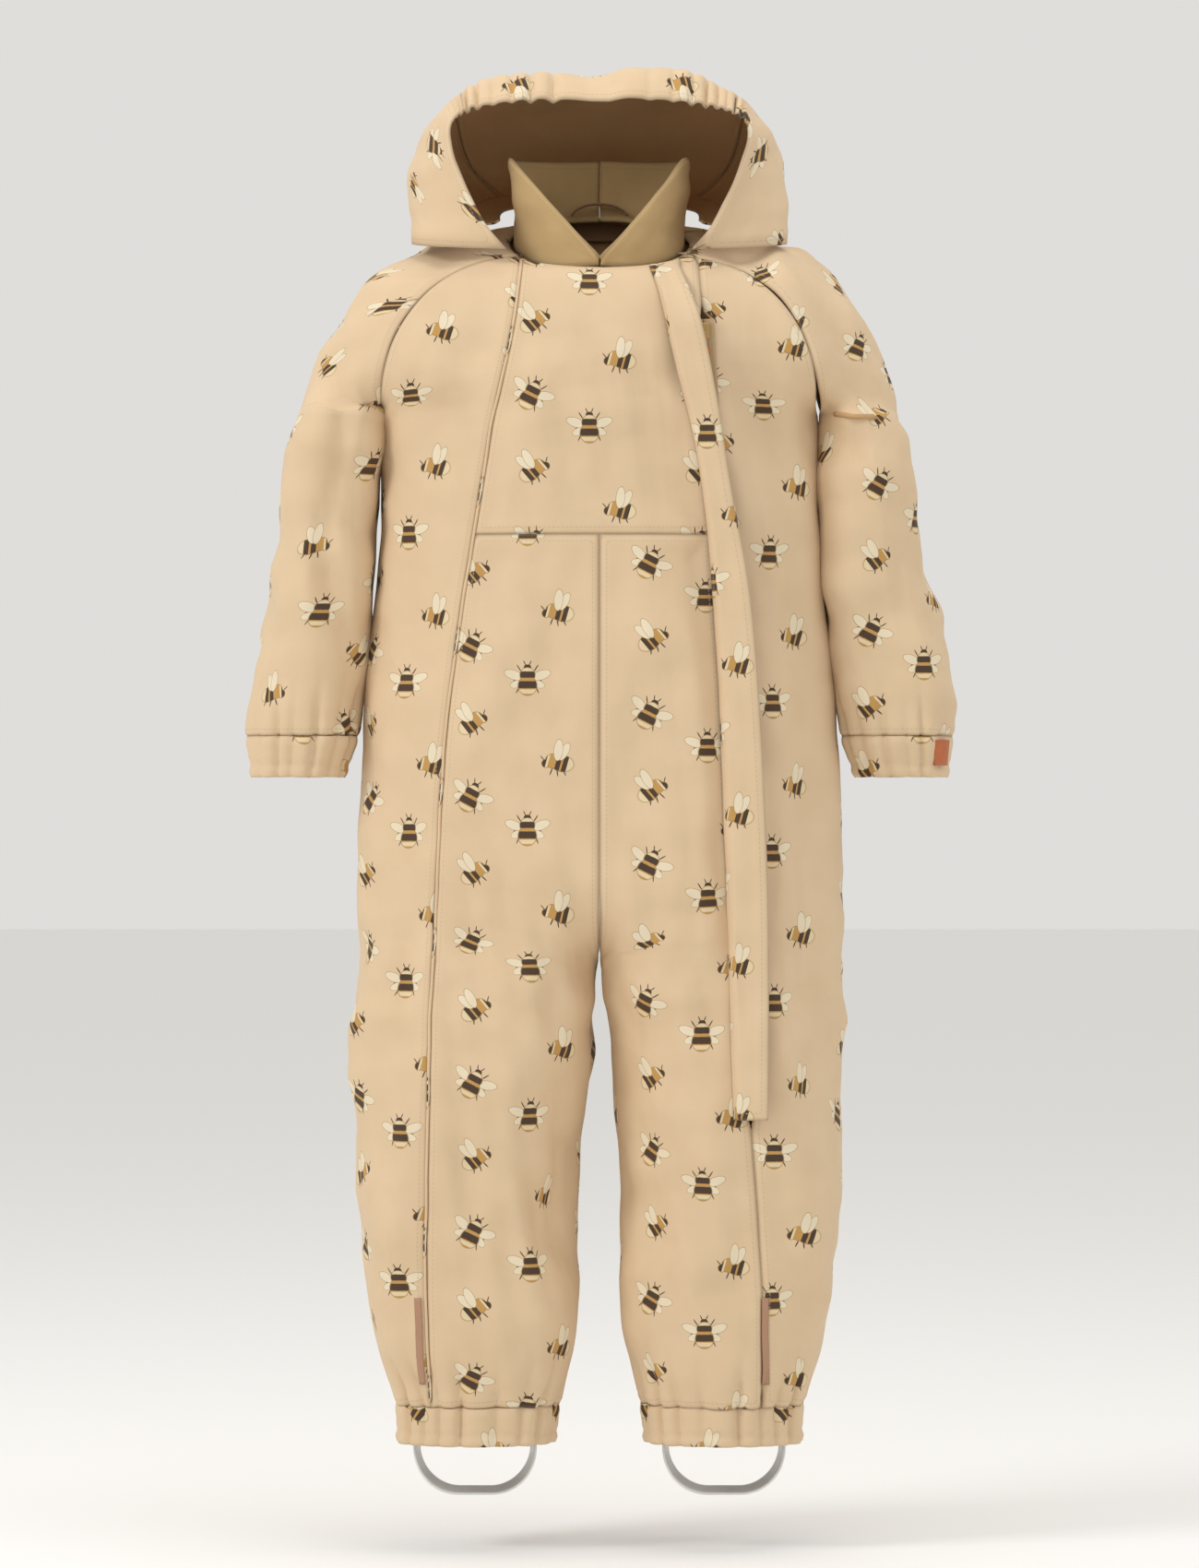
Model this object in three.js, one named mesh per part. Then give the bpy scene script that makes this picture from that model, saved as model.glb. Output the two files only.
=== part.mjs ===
// A child's hooded one-piece coverall of soft shell cloth, shown upright as it is worn, in millimetres.
// +X is the wearer's left, +Y the wearer's back, +Z up. The origin is where a hook bears in the hang loop.
// Every cloth surface is one function of two parameters, and each panel is a patch of it with a wall.
import * as THREE from 'three';

// ---- driving dimensions -------------------------------------------------------------------------
const cloth = 3;              // wall of the bonded outer cloth
const seamGap = 0.4;          // clearance between neighbouring panels
const layerGap = 0.35;        // clearance between layers that lie on each other

const hookSetBack = 37;       // the hang loop lies this far behind the middle of the neck
const armpitDrop = 163;       // origin down to the underarm point
const bodyRise = 408;         // underarm to crotch
const inseam = 368;           // crotch to hem
const legCuffLength = 29;
const sleeveLength = 274;     // underarm to the end of the sleeve cuff
const sleeveCuffLength = 31;
const chestHalfWidth = 165;
const hipHalfWidth = 183;
const shoulderHalfWidth = 221;
const frontDepth = 83;
const backDepth = 80;
const roundness = 2.3;        // power of the super-ellipse that a body section follows

const neckHalfWidth = 68;
const neckFrontDepth = 58;
const neckBackDepth = 50;
const neckFrontZ = -56;
const neckBackZ = -9;
const collarWall = 4;
const collarTopZ = 34;

const yokeDrop = 256;         // origin down to the seam under the front yoke
const zipTopDrop = 96;
const zipTopX = 77;
const zipLength = 591;
const zipLean = 3.4;          // degrees that the zip leans outwards on its way down
const tapeWidth = 8;
const innerTapeWidth = 4;     // the tape on the flap's seam side shows less
const teethWidth = 2.6;
const teethHeight = 1.6;
const tapeWall = 0.7;
const sliderSize = [8.5, 2, 12];
const pullerSize = [5, 1, 11];
const fobSize = [9, 1.4, 27];
const stopSize = [6.2, 1.8, 3];
const flapWall = 2;
const flapTopDrop = 62;
const flapTail = 6;           // the flap runs on this far below the zip
const flapAxisTopX = 58;
const flapAxisLean = 4.43;    // degrees

const hingeKneeDrop = 179;    // crotch down to the knee hinge
const kneeFoldAbove = 50;
const kneeFoldBelow = 50;
const armFoldTop = 0.56;      // level on the shoulder where the rigid raglan part ends
const armFoldDrop = 34;       // underarm down to the rigid sleeve

const strapWidth = 15;
const strapWall = 2;
const strapHalfSpan = 45;
const strapDrop = 38;         // hem down to the sole of the strap
const strapFlat = 24;
const buttonRadius = 5;
const buttonSlack = 2;        // the cuff narrows above its hem, so the button stops short of it

const loopHalfSpan = 21;
const loopRise = 10;
const loopWidth = 6;
const loopWall = 1.4;

// ---- levels worked out from them ------------------------------------------------------------------
const armpitZ = -armpitDrop;
const crotchZ = armpitZ - bodyRise;
const crotchRise = 60;        // height over which the seat curves in under the body
const hipBlendAbove = 130;    // the outside of the hip turns into the leg more slowly
const hipBlendBelow = 150;
const hemZ = crotchZ - inseam;
const legSeamZ = hemZ + legCuffLength;
const kneeZ = crotchZ - hingeKneeDrop;
const thighEndZ = kneeZ + kneeFoldAbove;
const shinTopZ = kneeZ - kneeFoldBelow;
const sleeveEndZ = armpitZ - sleeveLength;
const wristSeamZ = sleeveEndZ + sleeveCuffLength;
const sleeveTopZ = armpitZ - armFoldDrop;
const levelStep = 100;        // below the underarm one level is this many millimetres

const levelAt = (z) => 1 + (armpitZ - z) / levelStep;
const radians = THREE.MathUtils.degToRad;
const mix = (a, b, t) => a + (b - a) * t;
const mixPoint = (a, b, t) => a.map((value, i) => mix(value, b[i], t));
const power = (value, e) => Math.sign(value) * Math.pow(Math.abs(value), e);

/** A smooth curve through [position, value] pairs, flat beyond the first and last. */
function profile(pairs) {
  const sorted = [...pairs].sort((a, b) => a[0] - b[0]);
  const slopes = sorted.map((pair, i) => {
    const before = sorted[Math.max(i - 1, 0)];
    const after = sorted[Math.min(i + 1, sorted.length - 1)];
    return (after[1] - before[1]) / (after[0] - before[0]);
  });
  return (position) => {
    const at = THREE.MathUtils.clamp(position, sorted[0][0], sorted.at(-1)[0]);
    let i = 0;
    while (i < sorted.length - 2 && at > sorted[i + 1][0]) i += 1;
    const span = sorted[i + 1][0] - sorted[i][0];
    const t = (at - sorted[i][0]) / span;
    const bend0 = slopes[i] * span;
    const bend1 = slopes[i + 1] * span;
    const [a, b] = [sorted[i][1], sorted[i + 1][1]];
    return a + t * (bend0 + t * (3 * (b - a) - 2 * bend0 - bend1 + t * (2 * (a - b) + bend0 + bend1)));
  };
}

// ---- body, leg and sleeve sections -----------------------------------------------------------------
const midBodyZ = armpitZ - 0.58 * bodyRise;
const bodyHalfWidth = profile([
  [armpitZ, chestHalfWidth], [armpitZ - 92, chestHalfWidth + 1],
  [midBodyZ, hipHalfWidth - 4], [crotchZ, hipHalfWidth],
]);
const bodyFront = profile([[armpitZ, frontDepth], [midBodyZ, frontDepth + 2], [crotchZ, frontDepth + 4]]);
const bodyBack = profile([
  [armpitZ, backDepth], [armpitZ - 130, backDepth - 2], [crotchZ + 85, backDepth + 12], [crotchZ, backDepth + 8],
]);
const legOuter = profile([
  [crotchZ, hipHalfWidth], [kneeZ + 60, hipHalfWidth - 1], [kneeZ - 45, hipHalfWidth - 7],
  [legSeamZ + 50, hipHalfWidth - 14], [legSeamZ, hipHalfWidth - 29], [hemZ, hipHalfWidth - 29],
]);
const legInner = profile([
  [crotchZ, 0.8], [crotchZ - 43, 8.6], [kneeZ, 14], [legSeamZ + 50, 19.5], [legSeamZ, 32], [hemZ, 34],
]);
const legDepth = profile([
  [crotchZ, 84], [thighEndZ, 78], [shinTopZ, 70], [legSeamZ + 50, 62], [legSeamZ, 51], [hemZ, 49],
]);
const sleeveInner = profile([
  [armpitZ, chestHalfWidth + 0.8], [armpitZ - 92, chestHalfWidth + 2.2],
  [midBodyZ, hipHalfWidth - 1.5], [sleeveEndZ, hipHalfWidth + 9],
]);
const sleeveOuter = profile([
  [armpitZ, shoulderHalfWidth + 2], [armpitZ - 92, shoulderHalfWidth + 23],
  [wristSeamZ + 30, shoulderHalfWidth + 45], [sleeveEndZ, shoulderHalfWidth + 42],
]);
const sleeveDepth = profile([[armpitZ, 56], [armpitZ - 92, 52], [wristSeamZ, 44], [sleeveEndZ, 38]]);

/** Super-ellipse point: angle 0 is the front, 90 the +X side, 180 the back. */
function sectionPoint(angle, halfWidth, front, back) {
  const e = 2 / roundness;
  const depth = Math.cos(angle) > 0 ? front : back;
  return [halfWidth * power(Math.sin(angle), e), -depth * power(Math.cos(angle), e)];
}

/** Neckline height at an angle from the front, 0 to pi. */
const necklineZ = (angle) => mix(neckFrontZ, neckBackZ, (1 - Math.cos(angle)) / 2);

/** Shoulder dome: level 0 is the neckline, level 1 the underarm height. */
function domePoint(angle, level, lift) {
  const e = 2 / 2.25;
  const rise = power(Math.sin((1 - level) * Math.PI / 2), e);
  const reach = power(Math.cos((1 - level) * Math.PI / 2), e);
  const base = sectionPoint(angle, shoulderHalfWidth + lift, frontDepth + lift, backDepth + lift);
  const neck = sectionPoint(angle, neckHalfWidth, neckFrontDepth, neckBackDepth);
  const top = necklineZ(angle) + lift;
  return [mix(neck[0], base[0], reach), mix(neck[1], base[1], reach), mix(armpitZ, top, rise)];
}

const raglanAngle = (level) => radians(45 + 13 * (1 - level) ** 4);
const underarmStart = 0.8;
/** How far a row has turned from the dome into the separate tubes, a quarter ellipse. */
function roundedShare(share) {
  const s = THREE.MathUtils.clamp(share, 0, 1);
  return 1 - Math.sqrt(1 - s * s);
}
const underarmShare = (level) => roundedShare((level - underarmStart) / (1 - underarmStart));

/** Trunk and leg of one side: turn 0 is centre front or inseam, 1 centre back, signed by the side. */
function trunkPoint(around, level, lift = 0) {
  const side = around < 0 ? -1 : 1;
  const turn = Math.abs(around);
  const z = armpitZ - (level - 1) * levelStep;
  let point;
  if (level < 1) {
    const share = 2 * Math.min(turn, 1 - turn) * raglanAngle(level);
    const dome = domePoint(turn < 0.5 ? share : Math.PI - share, level, lift);
    const flat = sectionPoint(turn * Math.PI, chestHalfWidth + lift, frontDepth + lift, backDepth + lift);
    point = mixPoint(dome, [...flat, dome[2]], underarmShare(level));
  } else {
    const seat = sectionPoint(turn * Math.PI, bodyHalfWidth(z) + lift, bodyFront(z) + lift, bodyBack(z) + lift);
    const middle = (legOuter(z) + legInner(z)) / 2;
    const half = (legOuter(z) - legInner(z)) / 2 + lift;
    const leg = sectionPoint(turn * 2 * Math.PI - Math.PI / 2, half, legDepth(z) + lift, legDepth(z) + lift);
    const inner = roundedShare((crotchZ + crotchRise - z) / crotchRise);
    const outer = THREE.MathUtils.smoothstep(crotchZ + hipBlendAbove - z, 0, hipBlendAbove + hipBlendBelow);
    const share = mix(inner, outer, Math.sin(turn * Math.PI) ** 2);
    point = mixPoint([...seat, z], [middle + leg[0], leg[1], z], share);
  }
  return [side * point[0], point[1], point[2]];
}

/** Sleeve of one side: turn 0 and 1 are the inner seam, 0.25 the front, 0.5 the outside. */
function sleevePoint(side, turn, level, lift = 0) {
  const z = armpitZ - (level - 1) * levelStep;
  const middle = (sleeveOuter(z) + sleeveInner(z)) / 2;
  const half = (sleeveOuter(z) - sleeveInner(z)) / 2 + lift;
  const tube = sectionPoint(turn * 2 * Math.PI - Math.PI / 2, half, sleeveDepth(z) + lift, sleeveDepth(z) + lift);
  let point = [middle + tube[0], tube[1], z];
  if (level < 1) {
    const seam = raglanAngle(level);
    const dome = domePoint(mix(seam, Math.PI - seam, turn), level, lift);
    point = mixPoint(dome, [point[0], point[1], dome[2]], underarmShare(level));
  }
  return [side * point[0], point[1], point[2]];
}

/** Hood: along 0 is the face edge, 1 the neck seam; across 0 is the right ear, 1 the left. */
const hoodEndX = profile([[0, 71], [0.25, 128], [0.5, 143], [0.75, 122], [1, 76]]);
const hoodEndY = profile([[0, -68], [0.25, -38], [0.5, -4], [0.75, 24], [1, 12]]);
const hoodEndZ = profile([[0, -43], [0.25, -38], [0.5, -33], [0.75, -25], [1, -16]]);
const hoodTopY = profile([[0, -36], [0.25, 8], [0.5, 64], [0.75, 106], [0.88, 98], [1, 60]]);
const hoodTopZ = profile([[0, 93], [0.25, 92], [0.5, 80], [0.75, 38], [0.88, 14], [1, -2]]);
const hoodWide = profile([[0, 143], [0.25, 146], [0.5, 148], [0.75, 132], [1, 78]]);
/** Which way the hood's crown faces: degrees from straight up towards the back. */
const hoodFacing = profile([[0, -5], [0.25, 10], [0.5, 40], [0.7, 85], [0.85, 115], [1, 155]]);
const hoodFoldStart = 0.85;
function hoodPoint(along, across, lift = 0) {
  const angle = across * Math.PI;
  const rise = power(Math.sin(angle), 0.55);
  const reach = power(Math.cos(angle), 0.55);
  const wide = mix(hoodEndX(along), hoodWide(along), rise ** 0.8) + lift;
  const facing = radians(hoodFacing(along));
  return [
    -wide * reach,
    mix(hoodEndY(along), hoodTopY(along) + lift * Math.sin(facing), rise),
    mix(hoodEndZ(along), hoodTopZ(along) + lift * Math.cos(facing), rise),
  ];
}

/** Collar of one side: turn 0 is the front, 1 centre back; up 0 is the neckline, 1 the top edge. */
const collarFlare = 6;
function collarPoint(side, turn, up, lift = 0) {
  const flare = collarFlare * up + lift;
  const [x, y] = sectionPoint(turn * Math.PI, neckHalfWidth - 4 + flare, neckFrontDepth - 3 + flare,
    neckBackDepth - 3 + flare);
  const low = necklineZ(turn * Math.PI) + seamGap + 0.6;
  const frontTop = mix(neckFrontZ + 6, collarTopZ - 4, Math.min(1, x / neckHalfWidth));
  const top = turn < 0.5 ? frontTop : mix(collarTopZ - 4, collarTopZ, (turn - 0.5) * 2);
  return [side * x, y, mix(low, Math.max(top, low + 5), up)];
}

// ---- solids ---------------------------------------------------------------------------------------
/** A closed wall between two grids of points; ring joins the last column to the first. */
function wallGeometry(outer, inner, columns, rows, ring = false) {
  const across = ring ? columns : columns + 1;
  const positions = [];
  for (const surface of [outer, inner]) {
    for (let row = 0; row <= rows; row += 1) {
      for (let column = 0; column < across; column += 1) {
        positions.push(...surface(column / columns, row / rows));
      }
    }
  }
  const layer = across * (rows + 1);
  const index = (row, column) => row * across + (column % across);
  const faces = [];
  const quad = (a, b, c, d) => faces.push(a, b, c, a, c, d);
  for (let row = 0; row < rows; row += 1) {
    for (let column = 0; column < columns; column += 1) {
      const corners = [index(row, column), index(row, column + 1), index(row + 1, column + 1), index(row + 1, column)];
      quad(...corners);
      quad(...[...corners].reverse().map((corner) => corner + layer));
    }
  }
  for (let column = 0; column < columns; column += 1) {
    const [a, b] = [index(0, column), index(0, column + 1)];
    const [c, d] = [index(rows, column), index(rows, column + 1)];
    quad(b, a, a + layer, b + layer);
    quad(c, d, d + layer, c + layer);
  }
  for (let row = 0; row < rows && !ring; row += 1) {
    const [a, b] = [index(row, 0), index(row + 1, 0)];
    const [c, d] = [index(row, columns), index(row + 1, columns)];
    quad(a, b, b + layer, a + layer);
    quad(d, c, c + layer, d + layer);
  }
  return facingOut(positions, faces);
}

/** An indexed geometry whose faces point out, whichever way its grid was run. */
function facingOut(positions, faces) {
  const corner = (i) => new THREE.Vector3().fromArray(positions, faces[i] * 3);
  let volume = 0;
  for (let i = 0; i < faces.length; i += 3) {
    volume += corner(i).dot(corner(i + 1).cross(corner(i + 2)));
  }
  const turned = volume < 0 ? faces.map((_, i) => faces[i - (i % 3) + [0, 2, 1][i % 3]]) : faces;
  const geometry = new THREE.BufferGeometry();
  geometry.setAttribute('position', new THREE.Float32BufferAttribute(positions, 3));
  geometry.setIndex(turned);
  geometry.computeVertexNormals();
  return geometry;
}

const finishes = {
  print: { color: 0xd8bf9b, roughness: 0.9 },
  collar: { color: 0xbea06e, roughness: 1 },
  lining: { color: 0xa57d50, roughness: 0.95 },
  facing: { color: 0x94704f, roughness: 0.95 },
  elastic: { color: 0xcdb28a, roughness: 0.9 },
  reflective: { color: 0xaa7d5f, roughness: 0.4 },
  zipTape: { color: 0xb59a70, roughness: 0.85 },
  zipTeeth: { color: 0xa88d62, roughness: 0.5 },
  zipMetal: { color: 0xb08d57, roughness: 0.35, metalness: 0.9 },
  leather: { color: 0xb9602f, roughness: 0.6 },
  strap: { color: 0xdadcd7, roughness: 0.3 },
};
const garment = new THREE.Group();
garment.position.set(0, -hookSetBack, 0);

function addMesh(name, geometry, finish, parent = garment) {
  const mesh = new THREE.Mesh(geometry, new THREE.MeshStandardMaterial({ metalness: 0, ...finishes[finish] }));
  mesh.name = name;
  parent.add(mesh);
  return mesh;
}

// ---- seam lines on the trunk -----------------------------------------------------------------------
/** The turn at which the front of a trunk row reaches the x that a line has at that height. */
function turnAtLine(line, level, lift = 0) {
  let [low, high] = [0, 0.5];
  for (let i = 0; i < 30; i += 1) {
    const middle = (low + high) / 2;
    const [x, , z] = trunkPoint(middle, level, lift);
    if (x < line(z)) low = middle;
    else high = middle;
  }
  return (low + high) / 2;
}
const zipSlope = Math.tan(radians(zipLean));
const zipTopZ = -zipTopDrop;
const zipBottomZ = zipTopZ - zipLength * Math.cos(radians(zipLean));
const zipLine = (z) => zipTopX + (zipTopZ - z) * zipSlope;
const pipingLine = profile([
  [neckFrontZ, 59], [zipTopZ, 64], [armpitZ - 12, 80], [-yokeDrop, 94], [armpitZ - 165, 106],
  [crotchZ + 124, 118], [crotchZ, 125], [thighEndZ, 128],
]);
const flapSeamLine = profile([
  [neckFrontZ, 37], [zipTopZ, 47], [armpitZ - 50, 73], [armpitZ - 200, 86], [crotchZ + 124, 89.5], [thighEndZ, 99],
]);
const flapEdgeLine = profile([
  [neckFrontZ, 60], [zipTopZ, 74], [armpitZ - 50, 95], [armpitZ - 145, 111], [crotchZ + 124, 120.5],
  [crotchZ, 124.5], [thighEndZ, 124.5],
]);
const flapAxisLine = (z) => flapAxisTopX + (-flapTopDrop - z) * Math.tan(radians(flapAxisLean));

/** Rows are closer together where the seat and the underarm curve in. */
const seatRows = [0, 0.35, 0.6, 0.8, 0.92, 0.98, 1].map((share) => levelAt(crotchZ + crotchRise * (1 - share)));
const domeRows = [0, 0.16, 0.32, 0.48, 0.64, 0.8, 0.88, 0.94, 0.98, 1];
/** Evenly spaced rows between two levels, both included. */
function evenRows(from, to, most) {
  const count = Math.max(1, Math.ceil(Math.abs(to - from) / most));
  return Array.from({ length: count + 1 }, (_, i) => mix(from, to, i / count));
}
const bodyStep = 0.42;
const trunkRows = [
  ...domeRows, ...evenRows(1, levelAt(-yokeDrop), bodyStep).slice(1),
  ...evenRows(levelAt(-yokeDrop), seatRows[0], bodyStep).slice(1), ...seatRows.slice(1),
  ...evenRows(levelAt(crotchZ), levelAt(thighEndZ), bodyStep).slice(1),
];
/** The listed rows between two levels, with the two levels as the ends. */
function rowsBetween(rows, from, to) {
  const inside = rows.filter((level) => level > from + 1e-6 && level < to - 1e-6);
  return [from, ...inside, to];
}

/** A panel of the trunk between two seam turns, each a number or a function of the level. */
function trunkPanel({ from, to, rows, columns, outerLift = 0, innerLift = -cloth }) {
  const bound = (edge, level) => (typeof edge === 'function' ? edge(level) : edge);
  const surface = (lift) => (u, v) => {
    const level = rows[Math.round(v * (rows.length - 1))];
    const share = mix(bound(from, level), bound(to, level), u);
    return trunkPoint(share, level, typeof lift === 'function' ? lift(u) : lift);
  };
  return wallGeometry(surface(outerLift), surface(innerLift), columns, rows.length - 1);
}

const centreTurn = 0.0005;
const sideTurn = 0.5;
/** Half a seam gap as a turn, at a row about as wide as the hips. */
const gapTurn = seamGap / 2 / (hipHalfWidth * Math.PI * 0.45);
const sideGapTurn = 7 * gapTurn;  // the row turns sharply at the side, so its gap is wider
const yokeLevel = levelAt(-yokeDrop);
const yokeGap = seamGap / 2 / levelStep;
const thighLevel = levelAt(thighEndZ) - seamGap / levelStep;
const neckLevel = 0.004;
const onPiping = (offset) => (level) => -turnAtLine((z) => pipingLine(z), level) + offset;
const onZip = (offset) => (level) => turnAtLine(zipLine, level) + offset;

const upperRows = rowsBetween(trunkRows, neckLevel, yokeLevel - yokeGap);
const lowerRows = rowsBetween(trunkRows, yokeLevel + yokeGap, thighLevel);
const allRows = rowsBetween(trunkRows, neckLevel, thighLevel);
const zipHalf = 0.006;        // the panels stop this far, as a turn, on each side of the zip line

addMesh('front_yoke', trunkPanel({
  from: onPiping(gapTurn), to: onZip(-zipHalf), rows: upperRows, columns: 12,
}), 'print');
addMesh('front_panel_right', trunkPanel({
  from: onPiping(gapTurn), to: -centreTurn, rows: lowerRows, columns: 5,
}), 'print');
addMesh('front_panel_left', trunkPanel({
  from: centreTurn, to: onZip(-zipHalf), rows: lowerRows, columns: 5,
}), 'print');
addMesh('side_front_right', trunkPanel({
  from: -sideTurn + sideGapTurn, to: onPiping(-gapTurn), rows: allRows, columns: 5,
}), 'print');
addMesh('side_front_left', trunkPanel({
  from: onZip(zipHalf), to: sideTurn - sideGapTurn, rows: allRows, columns: 5,
}), 'print');
for (const [name, side] of [['right', -1], ['left', 1]]) {
  addMesh(`back_panel_${name}`, trunkPanel({
    from: side * (sideTurn + sideGapTurn), to: side * (1 - centreTurn), rows: lowerRows, columns: 8,
  }), 'print');
}
addMesh('back_yoke', (() => {
  const rows = upperRows;
  const surface = (lift) => (u, v) => {
    const level = rows[Math.round(v * (rows.length - 1))];
    const turn = mix(sideTurn + sideGapTurn, 2 - sideTurn - sideGapTurn, u);
    return turn <= 1 ? trunkPoint(turn, level, lift) : trunkPoint(turn - 2, level, lift);
  };
  return wallGeometry(surface(0), surface(-cloth), 16, rows.length - 1);
})(), 'print');

// ---- sleeves ----------------------------------------------------------------------------------------
function sleevePanel(side, { from, to, rows, columns, ring = false, outerLift = 0, innerLift = -cloth }) {
  const surface = (lift) => (u, v) => (
    sleevePoint(side, mix(from, to, u), rows[Math.round(v * (rows.length - 1))], lift));
  return wallGeometry(surface(outerLift), surface(innerLift), columns, rows.length - 1, ring);
}
const sleeveTurnGap = 0.006;
for (const [name, side] of [['right', -1], ['left', 1]]) {
  addMesh(`raglan_shoulder_${name}`, sleevePanel(side, {
    from: sleeveTurnGap, to: 1 - sleeveTurnGap, rows: [neckLevel, 0.16, 0.32, 0.46, armFoldTop], columns: 12,
  }), 'print');
  addMesh(`shoulder_fold_${name}`, sleevePanel(side, {
    from: sleeveTurnGap, to: 1 - sleeveTurnGap,
    rows: [armFoldTop + 0.006, 0.64, 0.8, 0.88, 0.94, 0.98, 1, levelAt(sleeveTopZ) - 0.006], columns: 16,
  }), 'print');
  addMesh(`sleeve_${name}`, sleevePanel(side, {
    from: 0, to: 1, ring: true, columns: 18,
    rows: evenRows(levelAt(sleeveTopZ), levelAt(wristSeamZ) - 0.005, 0.36),
  }), 'print');
  addMesh(`sleeve_cuff_${name}`, sleevePanel(side, {
    from: 0, to: 1, ring: true, columns: 18, outerLift: -0.5, innerLift: -0.5 - cloth,
    rows: evenRows(levelAt(wristSeamZ), levelAt(sleeveEndZ), 0.2),
  }), 'elastic');
}
addMesh('cuff_label', sleevePanel(1, {
  from: 0.37, to: 0.42, rows: [levelAt(wristSeamZ - 5), levelAt(wristSeamZ - 22)], columns: 2,
  outerLift: 1.2, innerLift: layerGap - 0.5 + 0.2,
}), 'leather');

// ---- lower legs ---------------------------------------------------------------------------------------
function legTube(side, rows, columns, outerLift = 0, innerLift = -cloth) {
  const surface = (lift) => (u, v) => trunkPoint(side * Math.max(u, 1e-9), rows[Math.round(v * (rows.length - 1))], lift);
  return wallGeometry(surface(outerLift), surface(innerLift), columns, rows.length - 1, true);
}
const reflectiveHeight = 66;
const reflectiveHalfTurn = 0.0065;
const strapAxisZ = hemZ + 9;
for (const [name, side] of [['right', -1], ['left', 1]]) {
  const shinGap = seamGap / levelStep;
  addMesh(`knee_fold_${name}`, legTube(side, evenRows(levelAt(thighEndZ), levelAt(shinTopZ) - shinGap, 0.35), 20), 'print');
  addMesh(`lower_leg_${name}`, legTube(side, evenRows(levelAt(shinTopZ), levelAt(legSeamZ) - shinGap, 0.36), 20), 'print');
  addMesh(`leg_cuff_${name}`, legTube(side, evenRows(levelAt(legSeamZ), levelAt(hemZ), 0.2), 20, -0.5, -0.5 - cloth), 'elastic');
  const stripLine = (z) => (side < 0 ? pipingLine(z) + 5 : mix(zipLine(thighEndZ), 123, 0.9));
  const stripTurn = (level) => turnAtLine(stripLine, level);
  addMesh(`reflective_strip_${name}`, trunkPanel({
    from: (level) => side * (stripTurn(level) - reflectiveHalfTurn),
    to: (level) => side * (stripTurn(level) + reflectiveHalfTurn),
    rows: evenRows(levelAt(legSeamZ + 84), levelAt(legSeamZ + 84 - reflectiveHeight), 0.3),
    columns: 1, outerLift: 1, innerLift: layerGap,
  }), 'reflective');

  const ankleX = side * (legOuter(hemZ) + legInner(hemZ)) / 2;
  const insideHalf = (legOuter(hemZ) - legInner(hemZ)) / 2 - 0.5 - cloth;
  addMesh(`foot_strap_${name}`, strapGeometry(), 'strap').position.set(ankleX, 0, 0);
  const buttonLength = insideHalf - strapHalfSpan - 2 * layerGap - buttonSlack;
  for (const [place, end] of [['inner', -side], ['outer', side]]) {
    const button = new THREE.CylinderGeometry(buttonRadius, buttonRadius, buttonLength, 12).rotateZ(Math.PI / 2);
    const buttonX = ankleX + end * (strapHalfSpan + layerGap + buttonLength / 2);
    addMesh(`strap_button_${place}_${name}`, button, 'strap').position.set(buttonX, 0, strapAxisZ);
  }
}

/** A flat band bent into a U: two straight ends, two quarter ellipses and a flat sole. */
function strapGeometry() {
  const soleZ = hemZ - strapDrop;
  const topZ = strapAxisZ + 6;
  const bendZ = hemZ - 4;
  const arcSteps = 7;
  const half = strapFlat / 2;
  const arc = Array.from({ length: arcSteps + 1 }, (_, i) => {
    const angle = (i / arcSteps) * Math.PI / 2;
    return [half + (strapHalfSpan - half) * Math.cos(angle), bendZ - (bendZ - soleZ) * Math.sin(angle)];
  });
  const rightSide = [[strapHalfSpan, topZ], ...arc];
  const outline = [...rightSide, ...[...rightSide].reverse().map(([x, z]) => [-x, z])];
  const centre = new THREE.Vector2(0, bendZ);
  const inner = outline.map(([x, z]) => {
    if (z > bendZ) return [x - Math.sign(x) * strapWall, z];
    const shrinkX = (Math.abs(x) - strapWall * Math.min(1, (Math.abs(x) - half) / (strapHalfSpan - half))) / Math.abs(x);
    return [x * shrinkX, z + strapWall * (centre.y - z) / (bendZ - soleZ)];
  });
  const surface = (points) => (u, v) => {
    const [x, z] = points[Math.round(v * (points.length - 1))];
    return [x, (u - 0.5) * strapWidth, z];
  };
  return wallGeometry(surface(outline), surface(inner), 1, outline.length - 1);
}

// ---- front trim: piping, zip, flap -----------------------------------------------------------------
addMesh('piping_cord', trunkPanel({
  from: onPiping(-0.004), to: onPiping(0.004), columns: 1,
  rows: rowsBetween(trunkRows, 0.05, thighLevel - 0.01), outerLift: 1.8, innerLift: layerGap,
}), 'print');

/** The zip is straight, so it stands clear of the most proud point of the cloth beneath it. */
const zipSamples = Array.from({ length: 61 }, (_, i) => mix(zipTopZ + 8, zipBottomZ - 3, i / 60));
function clothFrontAt(z) {
  const level = z > armpitZ ? domeLevelAt(z) : levelAt(z);
  return Math.min(...[-tapeWidth, 0, tapeWidth].map((offset) => (
    trunkPoint(turnAtLine((height) => zipLine(height) + offset, level), level)[1])));
}
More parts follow.
